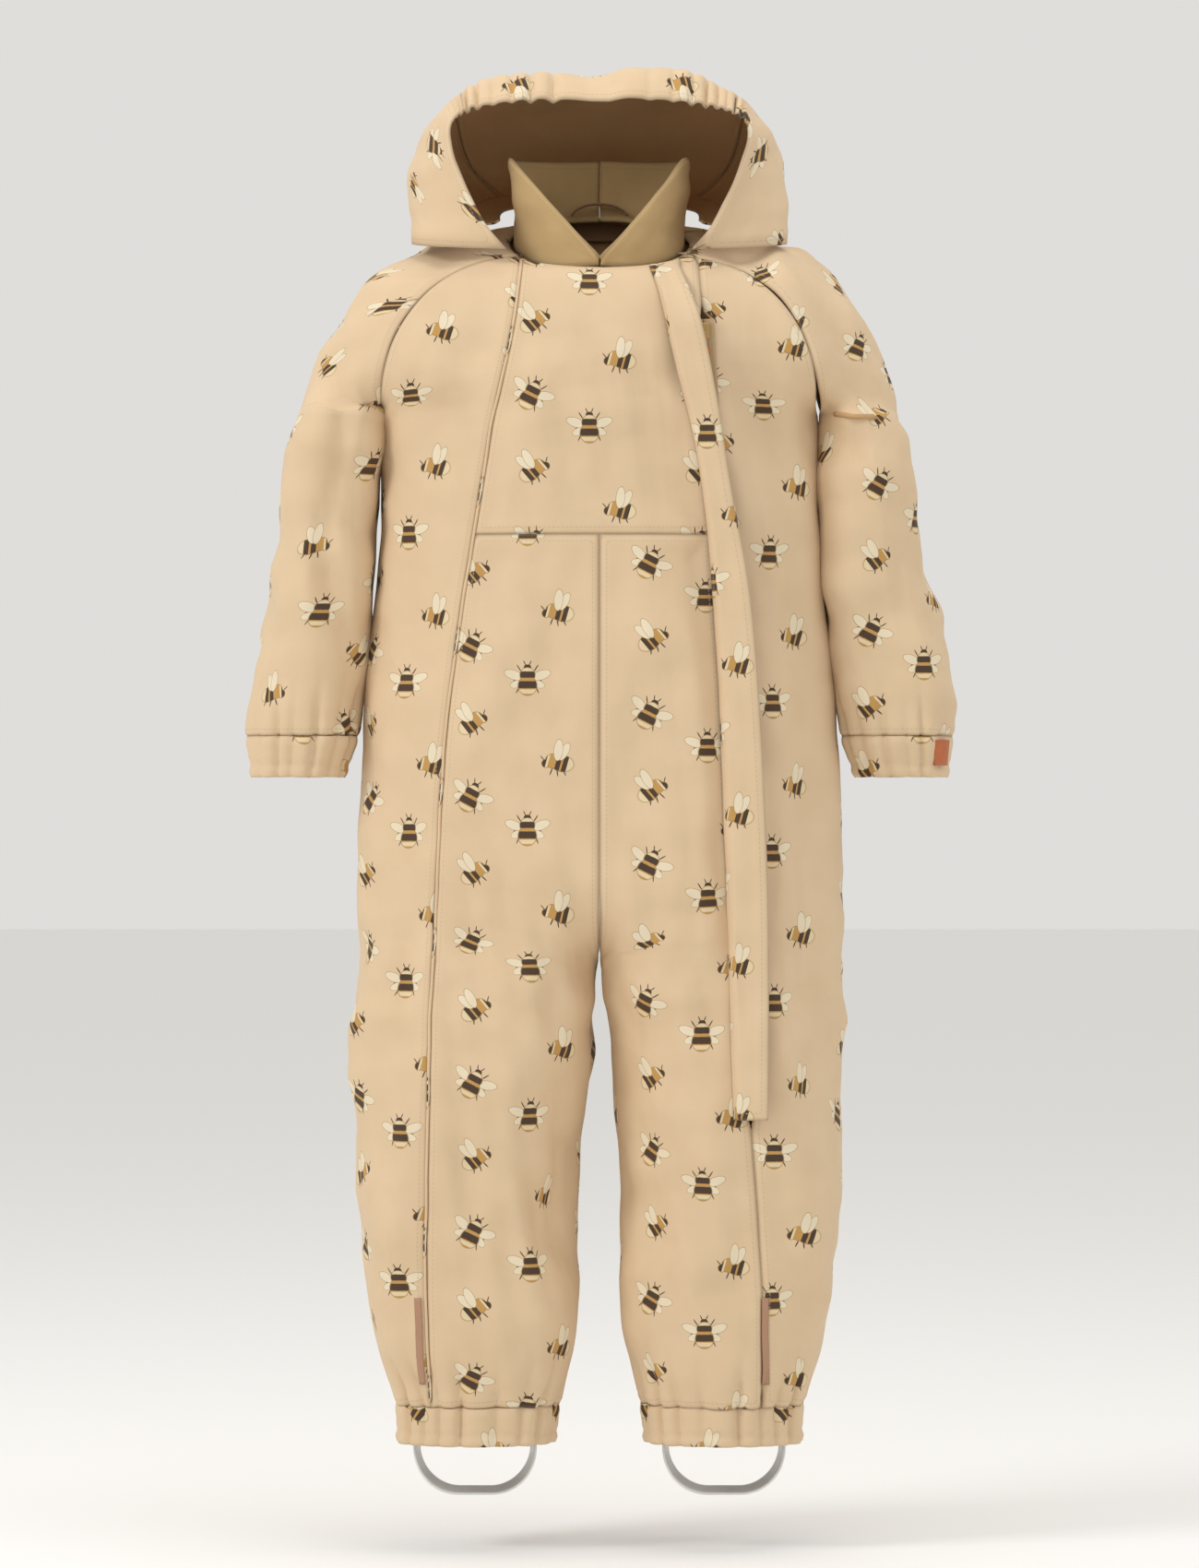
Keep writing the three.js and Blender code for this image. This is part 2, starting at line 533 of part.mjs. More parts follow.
/** The dome level whose front, at the zip, is at a height. */
function domeLevelAt(z) {
  let [low, high] = [0, 1];
  for (let i = 0; i < 30; i += 1) {
    const middle = (low + high) / 2;
    if (trunkPoint(turnAtLine(zipLine, middle), middle)[2] > z) low = middle;
    else high = middle;
  }
  return (low + high) / 2;
}
const zipTopY = clothFrontAt(zipTopZ);
const zipTilt = Math.atan2(clothFrontAt(zipBottomZ) - zipTopY, zipTopZ - zipBottomZ);
const zipChordY = (z) => zipTopY + (zipTopZ - z) * Math.tan(zipTilt);
const zipStandOff = Math.max(...zipSamples.map((z) => zipChordY(z) - clothFrontAt(z))) + 2 * layerGap;
const zipPlaneY = (z) => zipChordY(z) - zipStandOff;
const zip = new THREE.Group();
zip.position.set(zipTopX, zipPlaneY(zipTopZ), zipTopZ);
zip.rotation.set(zipTilt, -radians(zipLean), 0);
garment.add(zip);
const tapeY = -tapeWall / 2;
const teethY = -tapeWall - layerGap - teethHeight / 2;
const sliderY = teethY - teethHeight / 2 - layerGap - sliderSize[1] / 2;
const pullerY = sliderY - sliderSize[1] / 2 - layerGap - pullerSize[1] / 2;
const fobY = pullerY;
/** A box in the zip's own frame: x across the zip, z measured down from the zip's top. */
function zipBox(name, size, place, finish) {
  addMesh(name, new THREE.BoxGeometry(...size), finish, zip).position.set(...place);
}
for (const [name, side] of [['right', -1], ['left', 1]]) {
  const width = side < 0 ? innerTapeWidth : tapeWidth;
  const tapeMiddle = side * (width + layerGap) / 2;
  zipBox(`zip_tape_${name}`, [width, tapeWall, zipLength], [tapeMiddle, tapeY, -zipLength / 2], 'zipTape');
  const teethMiddle = side * (teethWidth + layerGap) / 2;
  const teethLength = zipLength - 2 * stopSize[2];
  zipBox(`zip_teeth_${name}`, [teethWidth, teethHeight, teethLength], [teethMiddle, teethY, -zipLength / 2], 'zipTeeth');
}
const stopInset = stopSize[2] / 2 - layerGap;
zipBox('zip_bottom_stop', [...stopSize], [0, -tapeWall - layerGap - stopSize[1] / 2, stopInset - zipLength], 'zipMetal');
zipBox('zip_slider', sliderSize, [0, sliderY, -sliderSize[2] / 2 - stopSize[2]], 'zipMetal');
const pullPivotZ = -stopSize[2] - sliderSize[2] + 3;
const pullGroup = new THREE.Group();
pullGroup.position.set(0, 0, pullPivotZ);
pullGroup.rotation.set(-zipTilt, radians(zipLean), 0);
zip.add(pullGroup);
addMesh('zip_puller', new THREE.BoxGeometry(...pullerSize), 'zipMetal', pullGroup)
  .position.set(0, pullerY, 2 - pullerSize[2] / 2);
addMesh('zip_pull_fob', new THREE.BoxGeometry(...fobSize), 'leather', pullGroup)
  .position.set(0, fobY, 2 - pullerSize[2] - layerGap - fobSize[2] / 2);

/** The flap stands over the zip: its lift above the cloth grows from its seam to the zip. */
const zipStack = -(fobY - fobSize[1] / 2) + 1;
const flapRows = rowsBetween(trunkRows, 0.2, levelAt(zipBottomZ - flapTail));
const flapSpan = (level) => ({
  seam: turnAtLine(flapSeamLine, level),
  fold: turnAtLine((z) => Math.max(flapSeamLine(z), flapAxisLine(z)), level),
  edge: turnAtLine(flapEdgeLine, level),
});
/** The flap lies on the cloth at its seam, and is raised forwards to clear the straight zip. */
const flapSteepness = 16;     // the flap is at full height a sixteenth of its width from its seam
const flapRamp = 30;          // height over which it comes down again above the zip
function flapPoint(turn, level, lift) {
  const { seam, edge } = flapSpan(level);
  const [x, y, z] = trunkPoint(turn, level, layerGap + 0.4 + lift);
  const across = THREE.MathUtils.clamp(flapSteepness * (turn - seam) / (edge - seam), 0, 1);
  const up = THREE.MathUtils.clamp(1 - (z - zipTopZ) / flapRamp, 0, 1);
  const clear = Math.min(y, zipPlaneY(z) - zipStack - lift);
  return [x, mix(y, clear, across * up), z];
}
function flapGeometry(from, to, columns) {
  const surface = (lift) => (u, v) => {
    const level = flapRows[Math.round(v * (flapRows.length - 1))];
    const span = flapSpan(level);
    const turn = mix(from(span), to(span), u);
    return flapPoint(turn, level, lift);
  };
  return wallGeometry(surface(flapWall), surface(0), columns, flapRows.length - 1);
}
const flapHingeGap = 0.006;
addMesh('storm_flap', flapGeometry((span) => span.fold + flapHingeGap, (span) => span.edge, 7), 'print');
addMesh('flap_fold', flapGeometry((span) => span.seam - 0.006, (span) => span.fold + flapHingeGap / 3, 1), 'print');

// ---- hood, collar and neck --------------------------------------------------------------------------
function hoodPanel({ along, across, columns, rows, outerLift = 0, innerLift = -cloth }) {
  const surface = (lift) => (u, v) => hoodPoint(mix(...along, v), mix(...across, u), lift);
  return wallGeometry(surface(outerLift), surface(innerLift), columns, rows);
}
const hoodSeams = [0.3, 0.7];
const brimEnd = 0.09;
const hoodGap = 0.003;
addMesh('hood_side_right', hoodPanel({
  along: [brimEnd + hoodGap, hoodFoldStart], across: [0.004, hoodSeams[0] - hoodGap / 2], columns: 8, rows: 12,
}), 'print');
addMesh('hood_side_left', hoodPanel({
  along: [brimEnd + hoodGap, hoodFoldStart], across: [hoodSeams[1] + hoodGap / 2, 0.996], columns: 8, rows: 12,
}), 'print');
addMesh('hood_centre', hoodPanel({
  along: [brimEnd + hoodGap, hoodFoldStart], across: [hoodSeams[0] + hoodGap / 2, hoodSeams[1] - hoodGap / 2],
  columns: 8, rows: 12,
}), 'print');
addMesh('hood_brim', hoodPanel({
  along: [0, brimEnd], across: [0.004, 0.996], columns: 24, rows: 2, outerLift: 1, innerLift: -cloth - 1,
}), 'elastic');
addMesh('hood_neck_fold', hoodPanel({
  along: [hoodFoldStart + 6 * hoodGap, 1], across: [0.03, 0.97], columns: 14, rows: 2,
}), 'print');
for (const [name, side] of [['right', -1], ['left', 1]]) {
  const surface = (lift) => (u, v) => collarPoint(side, mix(0.012, 1 - centreTurn, u), v, lift);
  addMesh(`collar_${name}`, wallGeometry(surface(0), surface(-collarWall), 14, 3), 'collar');
}
addMesh('neck_facing', (() => {
  const rows = domeRows.slice(1, 4);
  const surface = (lift) => (u, v) => (
    domePoint(mix(radians(125), radians(235), u), rows[Math.round(v * (rows.length - 1))], lift));
  return wallGeometry(surface(-cloth - layerGap - 1), surface(-cloth - layerGap - 2.2), 20, rows.length - 1);
})(), 'facing');

/** A tape arch whose underside at the middle is the origin: half an ellipse across the back neck. */
addMesh('hang_loop', (() => {
  const surface = (wall) => (u, v) => {
    const angle = mix(0.04, 0.96, v) * Math.PI;
    return [
      -(loopHalfSpan + wall) * Math.cos(angle),
      hookSetBack + (u - 0.5) * loopWidth,
      (loopRise + wall) * Math.sin(angle) - loopRise,
    ];
  };
  return wallGeometry(surface(loopWall), surface(0), 1, 14);
})(), 'facing');

const group = new THREE.Group();
group.add(garment);
export default group;
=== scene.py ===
"""A child's hooded rain coverall, made as an add-on: each operator makes one piece or group of pieces.

Surfaces are functions of two parameters evaluated on whole numpy grids, in metres.
"""
import math

import bmesh
import bpy
import numpy as np
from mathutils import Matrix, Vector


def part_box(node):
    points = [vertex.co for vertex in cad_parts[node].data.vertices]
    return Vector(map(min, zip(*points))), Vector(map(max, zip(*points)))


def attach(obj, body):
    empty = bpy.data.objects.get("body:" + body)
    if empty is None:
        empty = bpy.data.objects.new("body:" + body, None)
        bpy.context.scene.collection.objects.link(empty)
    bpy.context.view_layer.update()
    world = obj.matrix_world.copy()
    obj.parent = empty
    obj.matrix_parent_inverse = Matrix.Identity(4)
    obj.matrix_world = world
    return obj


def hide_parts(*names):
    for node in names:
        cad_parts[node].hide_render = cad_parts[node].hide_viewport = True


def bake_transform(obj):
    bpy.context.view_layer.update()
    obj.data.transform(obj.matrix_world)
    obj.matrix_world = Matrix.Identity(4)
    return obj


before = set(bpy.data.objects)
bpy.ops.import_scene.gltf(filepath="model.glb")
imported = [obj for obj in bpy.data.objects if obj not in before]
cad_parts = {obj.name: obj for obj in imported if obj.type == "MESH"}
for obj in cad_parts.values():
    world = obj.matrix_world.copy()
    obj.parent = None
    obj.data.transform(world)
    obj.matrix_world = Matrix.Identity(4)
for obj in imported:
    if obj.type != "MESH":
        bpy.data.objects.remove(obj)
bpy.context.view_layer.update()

bl_info = {
    "name": "Hooded Coverall",
    "version": (1, 0, 0),
    "blender": (4, 5, 0),
    "location": "View3D > Sidebar > Coverall",
    "description": "Makes a child's hooded one-piece coverall around its frame",
    "category": "Add Mesh",
}

MM = 0.001
BODY_Y = -37 * MM          # the middle of the body lies this far in front of the hang loop
ROUND = 2.3                # power of the super-ellipse of a body section
ARMPIT_Z, CROTCH_Z, HEM_Z, LEG_SEAM_Z = -163.0, -571.0, -939.0, -910.0
WRIST_Z, SLEEVE_END_Z, YOKE_Z, NECK_FRONT_Z, NECK_BACK_Z = -406.0, -437.0, -256.0, -56.0, -9.0
CHEST, HIP, SHOULDER, FRONT, BACK = 165.0, 183.0, 221.0, 83.0, 80.0
NECK_X, NECK_FRONT, NECK_BACK = 68.0, 58.0, 50.0
THIGH_END_Z, SHIN_TOP_Z, KNEE_Z = -700.0, -800.0, -750.0
ZIP_TOP_X, ZIP_TOP_Z, ZIP_LENGTH, ZIP_LEAN = 77.0, -96.0, 591.0, math.radians(3.4)
SIDES = (("right", -1), ("left", 1))


# ---- formulas -----------------------------------------------------------------------------------
def profile(pairs):
    """Cubic curve through position and value pairs, its slopes taken from the neighbouring pairs."""
    at = np.array(sorted(pairs), float)
    xs, ys = at[:, 0], at[:, 1]
    low = np.maximum(np.arange(len(xs)) - 1, 0)
    high = np.minimum(np.arange(len(xs)) + 1, len(xs) - 1)
    slopes = (ys[high] - ys[low]) / (xs[high] - xs[low])

    def curve(position):
        p = np.clip(np.asarray(position, float), xs[0], xs[-1])
        i = np.clip(np.searchsorted(xs, p, side="right") - 1, 0, len(xs) - 2)
        span = xs[i + 1] - xs[i]
        t = (p - xs[i]) / span
        a, b, m0, m1 = ys[i], ys[i + 1], slopes[i] * span, slopes[i + 1] * span
        return a + t * (m0 + t * (3 * (b - a) - 2 * m0 - m1 + t * (2 * (a - b) + m0 + m1)))

    return curve


MID_Z = ARMPIT_Z - 0.58 * (ARMPIT_Z - CROTCH_Z)
body_half = profile([(ARMPIT_Z, CHEST), (ARMPIT_Z - 92, CHEST + 1), (MID_Z, HIP - 4), (CROTCH_Z, HIP)])
body_front = profile([(ARMPIT_Z, FRONT), (MID_Z, FRONT + 2), (CROTCH_Z, FRONT + 4)])
body_back = profile([(ARMPIT_Z, BACK), (ARMPIT_Z - 130, BACK - 2), (CROTCH_Z + 85, BACK + 12),
                     (CROTCH_Z, BACK + 8)])
leg_outer = profile([(CROTCH_Z, HIP), (KNEE_Z + 60, HIP - 1), (KNEE_Z - 45, HIP - 7),
                     (LEG_SEAM_Z + 50, HIP - 14), (LEG_SEAM_Z, HIP - 29), (HEM_Z, HIP - 29)])
leg_inner = profile([(CROTCH_Z, 0.8), (CROTCH_Z - 43, 8.6), (KNEE_Z, 14), (LEG_SEAM_Z + 50, 19.5),
                     (LEG_SEAM_Z, 32), (HEM_Z, 34)])
leg_depth = profile([(CROTCH_Z, 84), (THIGH_END_Z, 78), (SHIN_TOP_Z, 70), (LEG_SEAM_Z + 50, 62),
                     (LEG_SEAM_Z, 51), (HEM_Z, 49)])
sleeve_inner = profile([(ARMPIT_Z, CHEST + 0.8), (ARMPIT_Z - 92, CHEST + 2.2), (MID_Z, HIP - 1.5),
                        (SLEEVE_END_Z, HIP + 9)])
sleeve_outer = profile([(ARMPIT_Z, SHOULDER + 2), (ARMPIT_Z - 92, SHOULDER + 23),
                        (WRIST_Z + 30, SHOULDER + 45), (SLEEVE_END_Z, SHOULDER + 42)])
sleeve_depth = profile([(ARMPIT_Z, 56), (ARMPIT_Z - 92, 52), (WRIST_Z, 44), (SLEEVE_END_Z, 38)])
piping_x = profile([(NECK_FRONT_Z, 59), (-96, 64), (-175, 80), (YOKE_Z, 94), (-328, 106), (-447, 118),
                    (CROTCH_Z, 125), (THIGH_END_Z, 128), (-820, 129), (LEG_SEAM_Z, 127)])
flap_seam_x = profile([(NECK_FRONT_Z, 37), (-96, 47), (-213, 73), (-363, 86), (-447, 89.5),
                       (-700, 99)])
flap_edge_x = profile([(NECK_FRONT_Z, 60), (-96, 74), (-148, 85), (-213, 95), (-308, 111), (-447, 120.5),
                       (CROTCH_Z, 124.5), (-692, 124.5)])


def zip_x(z):
    """The zip's straight line, and the seam that runs on below it."""
    straight = ZIP_TOP_X + (ZIP_TOP_Z - z) * math.tan(ZIP_LEAN)
    return np.where(z < -692, np.interp(-z, [692, 825, 910], [112.4, 122.9, 122]), straight)


def signed_power(value, exponent):
    """A power of the size that keeps the sign."""
    return np.sign(value) * np.abs(value) ** exponent


def section(angle, half, front, back):
    """Super-ellipse: angle 0 is the front, a quarter turn the +X side, a half turn the back."""
    depth = np.where(np.cos(angle) > 0, front, back)
    return half * signed_power(np.sin(angle), 2 / ROUND), -depth * signed_power(np.cos(angle), 2 / ROUND)


def neckline_z(angle):
    """Height of the neckline: a cosine from the front up to the back."""
    return NECK_FRONT_Z + (NECK_BACK_Z - NECK_FRONT_Z) * (1 - np.cos(angle)) / 2


def dome(angle, level, lift):
    """Shoulder dome: a super-ellipse arc from the neckline out and down to the section at the underarm."""
    swing = (1 - level) * math.pi / 2
    rise, reach = np.sin(swing) ** (2 / 2.25), np.cos(swing) ** (2 / 2.25)
    bx, by = section(angle, SHOULDER + lift, FRONT + lift, BACK + lift)
    nx, ny = section(angle, NECK_X, NECK_FRONT, NECK_BACK)
    z = ARMPIT_Z + (neckline_z(angle) + lift - ARMPIT_Z) * rise
    return nx + (bx - nx) * reach, ny + (by - ny) * reach, z


def rounded_share(share):
    """A share that follows a quarter circle."""
    s = np.clip(share, 0, 1)
    return 1 - np.sqrt(1 - s * s)


def raglan_angle(level):
    """Angle of the raglan seam from the front, wider towards the neck."""
    return np.radians(45 + 13 * (1 - level) ** 4)


def smooth(value, low, high):
    """0 below low, 1 above high, and an S-curve between."""
    t = np.clip((value - low) / (high - low), 0, 1)
    return t * t * (3 - 2 * t)


def blend3(a, b, t):
    return tuple(p + (q - p) * t for p, q in zip(a, b))


def pick3(choose, a, b):
    return tuple(np.where(choose, p, q) for p, q in zip(a, b))


def trunk(around, level, lift=0.0):
    """Trunk and leg: |around| 0 is the centre front or inseam, 1 the centre back; its sign is the side."""
    turn = np.abs(around)
    above = np.clip(level, 0, 1)
    share = 2 * np.minimum(turn, 1 - turn) * raglan_angle(above)
    top = dome(np.where(turn < 0.5, share, math.pi - share), above, lift)
    flat = section(turn * math.pi, CHEST + lift, FRONT + lift, BACK + lift)
    upper = blend3(top, (*flat, top[2]), rounded_share((above - 0.8) / 0.2))
    z = ARMPIT_Z - (level - 1) * 100
    seat = section(turn * math.pi, body_half(z) + lift, body_front(z) + lift, body_back(z) + lift)
    middle, half = (leg_outer(z) + leg_inner(z)) / 2, (leg_outer(z) - leg_inner(z)) / 2 + lift
    leg = section(turn * 2 * math.pi - math.pi / 2, half, leg_depth(z) + lift, leg_depth(z) + lift)
    inner = rounded_share((CROTCH_Z + 60 - z) / 60)
    outer = smooth(CROTCH_Z + 130 - z, 0, 280)
    split = inner + (outer - inner) * np.sin(turn * math.pi) ** 2
    lower = blend3((*seat, z), (middle + leg[0], leg[1], z), split)
    x, y, z = pick3(level < 1, upper, lower)
    return np.stack([np.where(around < 0, -x, x), y, z], -1)


def sleeve(side, turn, level, lift=0.0):
    """Sleeve: turn 0 and 1 are its inner seam, 0.25 the front; above the underarm it joins the dome."""
    z = ARMPIT_Z - (level - 1) * 100
    middle, half = (sleeve_outer(z) + sleeve_inner(z)) / 2, (sleeve_outer(z) - sleeve_inner(z)) / 2 + lift
    x, y = section(turn * 2 * math.pi - math.pi / 2, half, sleeve_depth(z) + lift, sleeve_depth(z) + lift)
    above = np.clip(level, 0, 1)
    seam = raglan_angle(above)
    top = dome(seam + (math.pi - 2 * seam) * turn, above, lift)
    upper = blend3(top, (middle + x, y, top[2]), rounded_share((above - 0.8) / 0.2))
    x, y, z = pick3(level < 1, upper, (middle + x, y, z))
    return np.stack([side * x, y, z], -1)


hood_end = [profile(p) for p in ([(0, 71), (.25, 128), (.5, 143), (.75, 122), (1, 76)],
                                 [(0, -68), (.25, -38), (.5, -4), (.75, 24), (1, 12)],
                                 [(0, -43), (.25, -38), (.5, -33), (.75, -25), (1, -16)])]
hood_top = [profile(p) for p in ([(0, -36), (.25, 8), (.5, 64), (.75, 106), (.88, 98), (1, 60)],
                                 [(0, 93), (.25, 92), (.5, 80), (.75, 38), (.88, 14), (1, -2)])]
hood_wide = profile([(0, 143), (.25, 146), (.5, 148), (.75, 132), (1, 78)])
hood_facing = profile([(0, -5), (.25, 10), (.5, 40), (.7, 85), (.85, 115), (1, 155)])


def hood(along, across, lift=0.0):
    """Hood: arches from ear to ear, each half a super-ellipse, from the face edge back to the neck seam."""
    angle = across * math.pi
    rise, reach = np.abs(np.sin(angle)) ** 0.55, signed_power(np.cos(angle), 0.55)
    wide = hood_end[0](along) + (hood_wide(along) - hood_end[0](along)) * rise ** 0.8 + lift
    facing = np.radians(hood_facing(along))
    y = hood_end[1](along) + (hood_top[0](along) + lift * np.sin(facing) - hood_end[1](along)) * rise
    z = hood_end[2](along) + (hood_top[1](along) + lift * np.cos(facing) - hood_end[2](along)) * rise
    return np.stack([-wide * reach, y, z], -1)


def collar(side, turn, up, lift=0.0):
    """Collar of one side, from the front to the centre back: its top edge falls to a V at the front."""
    flare = 6 * up + lift
    x, y = section(turn * math.pi, NECK_X - 4 + flare, NECK_FRONT - 3 + flare, NECK_BACK - 3 + flare)
    low = neckline_z(turn * math.pi) + 1
    front = NECK_FRONT_Z + 6 + (30 - NECK_FRONT_Z - 6) * np.minimum(1, x / NECK_X)
    top = np.where(turn < 0.5, front, 30 + 4 * (turn - 0.5) * 2)
    z = low + (np.maximum(top, low + 5) - low) * up
    return np.stack([side * x, y, z], -1)


def turn_at(line, level):
    """The turn where the front of each row is at the line's x, by halving the interval."""
    low, high = np.zeros_like(level), np.full_like(level, 0.5)
    for _ in range(26):
        middle = (low + high) / 2
        p = trunk(middle, level)
        less = p[..., 0] < line(p[..., 2])
        low, high = np.where(less, middle, low), np.where(less, high, middle)
    return (low + high) / 2


# ---- creases, gathers and pinched seams --------------------------------------------------------
def crease_field(points, seed, length, count=9):
    """Sum of warped plane waves whose crests are sharpened, about -1 to 1 (points in mm)."""
    rng = np.random.default_rng(seed)
    total = np.zeros(points.shape[:-1])
    warp = sum(np.sin(points @ rng.normal(0, 1 / 90, 3) + rng.uniform(0, 6.3)) for _ in range(3))
    for _ in range(count):
        direction = rng.normal(0, 1, 3) * (1.0, 0.7, 1.1)
        direction /= np.linalg.norm(direction)
        scale = 2 * math.pi / (length * rng.uniform(0.6, 1.7))
        wave = np.sin(points @ direction * scale + 1.3 * warp + rng.uniform(0, 6.3))
        total += np.sign(wave) * np.abs(wave) ** 1.5
    return total / count ** 0.5 / 1.3


def normals_of(points):
    """Unit normals of a grid from the cross product of its two directions of difference."""
    across = np.gradient(points, axis=1)
    along = np.gradient(points, axis=0)
    normal = np.cross(across, along)
    return normal / np.maximum(np.linalg.norm(normal, axis=-1, keepdims=True), 1e-9)


def lengths(points, axis):
    """Distance travelled along a grid's rows (axis 1) or columns (axis 0)."""
    step = np.linalg.norm(np.diff(points, axis=axis), axis=-1)
    start = np.zeros_like(np.take(step, [0], axis=axis))
    return np.cumsum(np.concatenate([start, step], axis=axis), axis=axis)


def crease_height(points, amount, seed, near):
    """Height of the creases in mm: broad upright folds with finer ones, held down near a seam."""
    height = 6.5 * crease_field(points * (1, 1, 0.6), seed, 105) + 2.3 * crease_field(points, seed + 1, 42)
    return amount * height * (0.35 + 0.65 * smooth(near, 0, 26))


def trunk_strength(z):
    """How strongly the trunk creases at each height: more at the arms, the seat and below the knees."""
    return (0.1 + 0.65 * smooth(-z, 55, 150) + 0.9 * np.exp(-((z + 590) / 80) ** 2)
            + 0.7 * np.exp(-((z + 780) / 70) ** 2) + 0.5 * np.exp(-((z + 150) / 50) ** 2))


def cloth_grid(points, inside, amount=1.0, seed=4, seams="lrtb", gathers=None, pinch=1.3):
    """Move a plain grid in and out: broad and fine creases, gathers, and edges pinched into their seams."""
    out = normals_of(points)
    away = points - inside(points)
    if np.mean(np.sum(out * away, -1)) < 0:
        out = -out
    across, along = lengths(points, 1), lengths(points, 0)
    edges = {"l": across, "r": across[:, -1:] - across, "t": along, "b": along[-1:] - along}
    near = np.min([edges[k] for k in seams], axis=0) if seams else np.full(across.shape, 99.0)
    height = crease_height(points, amount, seed, near)
    if gathers is not None:
        height = height + gathers
    height = height - pinch * np.exp(-(near / 2.2) ** 2) + 0.5 * np.exp(-((near - 6) / 4) ** 2)
    return points + out * height[..., None], near


def panel_uv(points, place):
    """Cloth coordinates in metres: distance across from the middle column and down it, from a print place."""
    across, along = lengths(points, 1), lengths(points, 0)
    middle = points.shape[1] // 2
    u = across - across[:, middle:middle + 1] + points[:, middle:middle + 1, 0]
    down = along[-1, middle] - along[:, middle]
    v = down[:, None] + points[-1, middle, 2] + 0 * u
    return np.stack([u - place[0], v - place[1]], -1) * MM


def add_surface(name, points, uv, near, material, inside=None, closed=False, wall=1.5, lining=None):
    """A mesh from a grid in mm; faces are turned away from the inside and Solidify gives the wall."""
    rows, columns = points.shape[:2]
    index = np.arange(rows * columns).reshape(rows, columns)
    right = np.roll(index, -1, axis=1) if closed else index[:, 1:]
    left = index if closed else index[:, :-1]
    faces = np.stack([left[:-1], right[:-1], right[1:], left[1:]], -1).reshape(-1, 4)
    flat = points.reshape(-1, 3)
    if inside is not None:
        a, b, c = (flat[faces[:, i]] for i in (0, 1, 3))
        facing = np.sum(np.cross(b - a, c - a) * (a - inside(a)))
        if facing < 0:
            faces = faces[:, ::-1]
    co = flat * MM + (0, BODY_Y, 0)
    mesh = bpy.data.meshes.new(name)
    mesh.from_pydata(co.tolist(), [], faces.tolist())
    loops = faces.reshape(-1)
    for layer, values in (("UVMap", uv), ("Seam", np.stack([near, 0 * near], -1) * MM)):
        data = mesh.uv_layers.new(name=layer)
        data.data.foreach_set("uv", values.reshape(-1, 2)[loops].reshape(-1))
    mesh.polygons.foreach_set("use_smooth", np.ones(len(faces), bool))
    mesh.materials.append(material)
    if lining:
        mesh.materials.append(lining)
    piece = bpy.data.objects.new(name.replace(" ", "_"), mesh)
    bpy.context.scene.collection.objects.link(piece)
    if wall:
        solid = piece.modifiers.new("Wall", "SOLIDIFY")
        solid.thickness, solid.offset, solid.use_even_offset = wall * MM, -1, False
        solid.material_offset = 1 if lining else 0
    mesh.update()
    return piece


def tube_inside(points):
    """The axis that trunk and leg faces look away from."""
    leg = smooth(-points[..., 2], -CROTCH_Z - 30, -CROTCH_Z + 10)
    centre = np.zeros(points.shape)
    centre[..., 0] = np.sign(points[..., 0]) * leg * 94
    centre[..., 2] = points[..., 2] - 30 * (points[..., 2] > -140)
    return centre


def sleeve_inside(points):
    """The axis that sleeve faces look away from."""
    centre = np.zeros(points.shape)
    centre[..., 0] = np.sign(points[..., 0]) * np.interp(-points[..., 2], [40, 163, 437], [120, 193, 227])
    centre[..., 2] = points[..., 2] - 40 * (points[..., 2] > -150)
    return centre


def point_inside(x, y, z):
    """A fixed point that faces look away from."""
    return lambda points: np.broadcast_to(np.array([x, y, z], float), points.shape)


# ---- shader node helpers -----------------------------------------------------------------------
class Nodes:
    """Small helper that adds nodes to a tree and joins them."""

    def __init__(self, tree):
        self.tree = tree

    def add(self, kind, inputs=None, **settings):
        node = self.tree.nodes.new(kind)
        for key, value in settings.items():
            setattr(node, key, value)
        for key, value in (inputs or {}).items():
            self.put(node.inputs[key], value)
        return node

    def put(self, socket, value):
        if isinstance(value, bpy.types.NodeSocket):
            self.tree.links.new(value, socket)
        else:
            socket.default_value = value

    def math(self, operation, a, b=0.0, c=0.0, clamp=False):
        return self.add("ShaderNodeMath", {0: a, 1: b, 2: c}, operation=operation, use_clamp=clamp).outputs[0]

    def mix(self, factor, a, b):
        return self.add("ShaderNodeMix", {0: factor, 6: a, 7: b}, data_type="RGBA").outputs[2]

    def blob(self, x, y, cx, cy, rx, ry, turn=0.0, soft=5.0):
        """1 inside an ellipse that is turned by some degrees, 0 outside, with a short soft edge."""
        s, c = math.sin(math.radians(turn)), math.cos(math.radians(turn))
        dx, dy = self.math("SUBTRACT", x, cx), self.math("SUBTRACT", y, cy)
        p = self.math("MULTIPLY_ADD", dx, c / rx, self.math("MULTIPLY", dy, s / rx))
        q = self.math("MULTIPLY_ADD", dy, c / ry, self.math("MULTIPLY", dx, -s / ry))
        r = self.math("MULTIPLY_ADD", p, p, self.math("MULTIPLY", q, q))
        return self.math("MULTIPLY", self.math("SUBTRACT", 1.0, r), soft, clamp=True)


def group(name, inputs, outputs):
    """A shader node group with named sockets; gives its tree, helper, inputs and output node."""
    tree = bpy.data.node_groups.new(name, "ShaderNodeTree")
    for label, kind, value in inputs:
        item = tree.interface.new_socket(label, in_out="INPUT", socket_type=kind)
        if value is not None:
            item.default_value = value
    for label, kind in outputs:
        tree.interface.new_socket(label, in_out="OUTPUT", socket_type=kind)
    helper = Nodes(tree)
    return tree, helper, helper.add("NodeGroupInput"), helper.add("NodeGroupOutput")


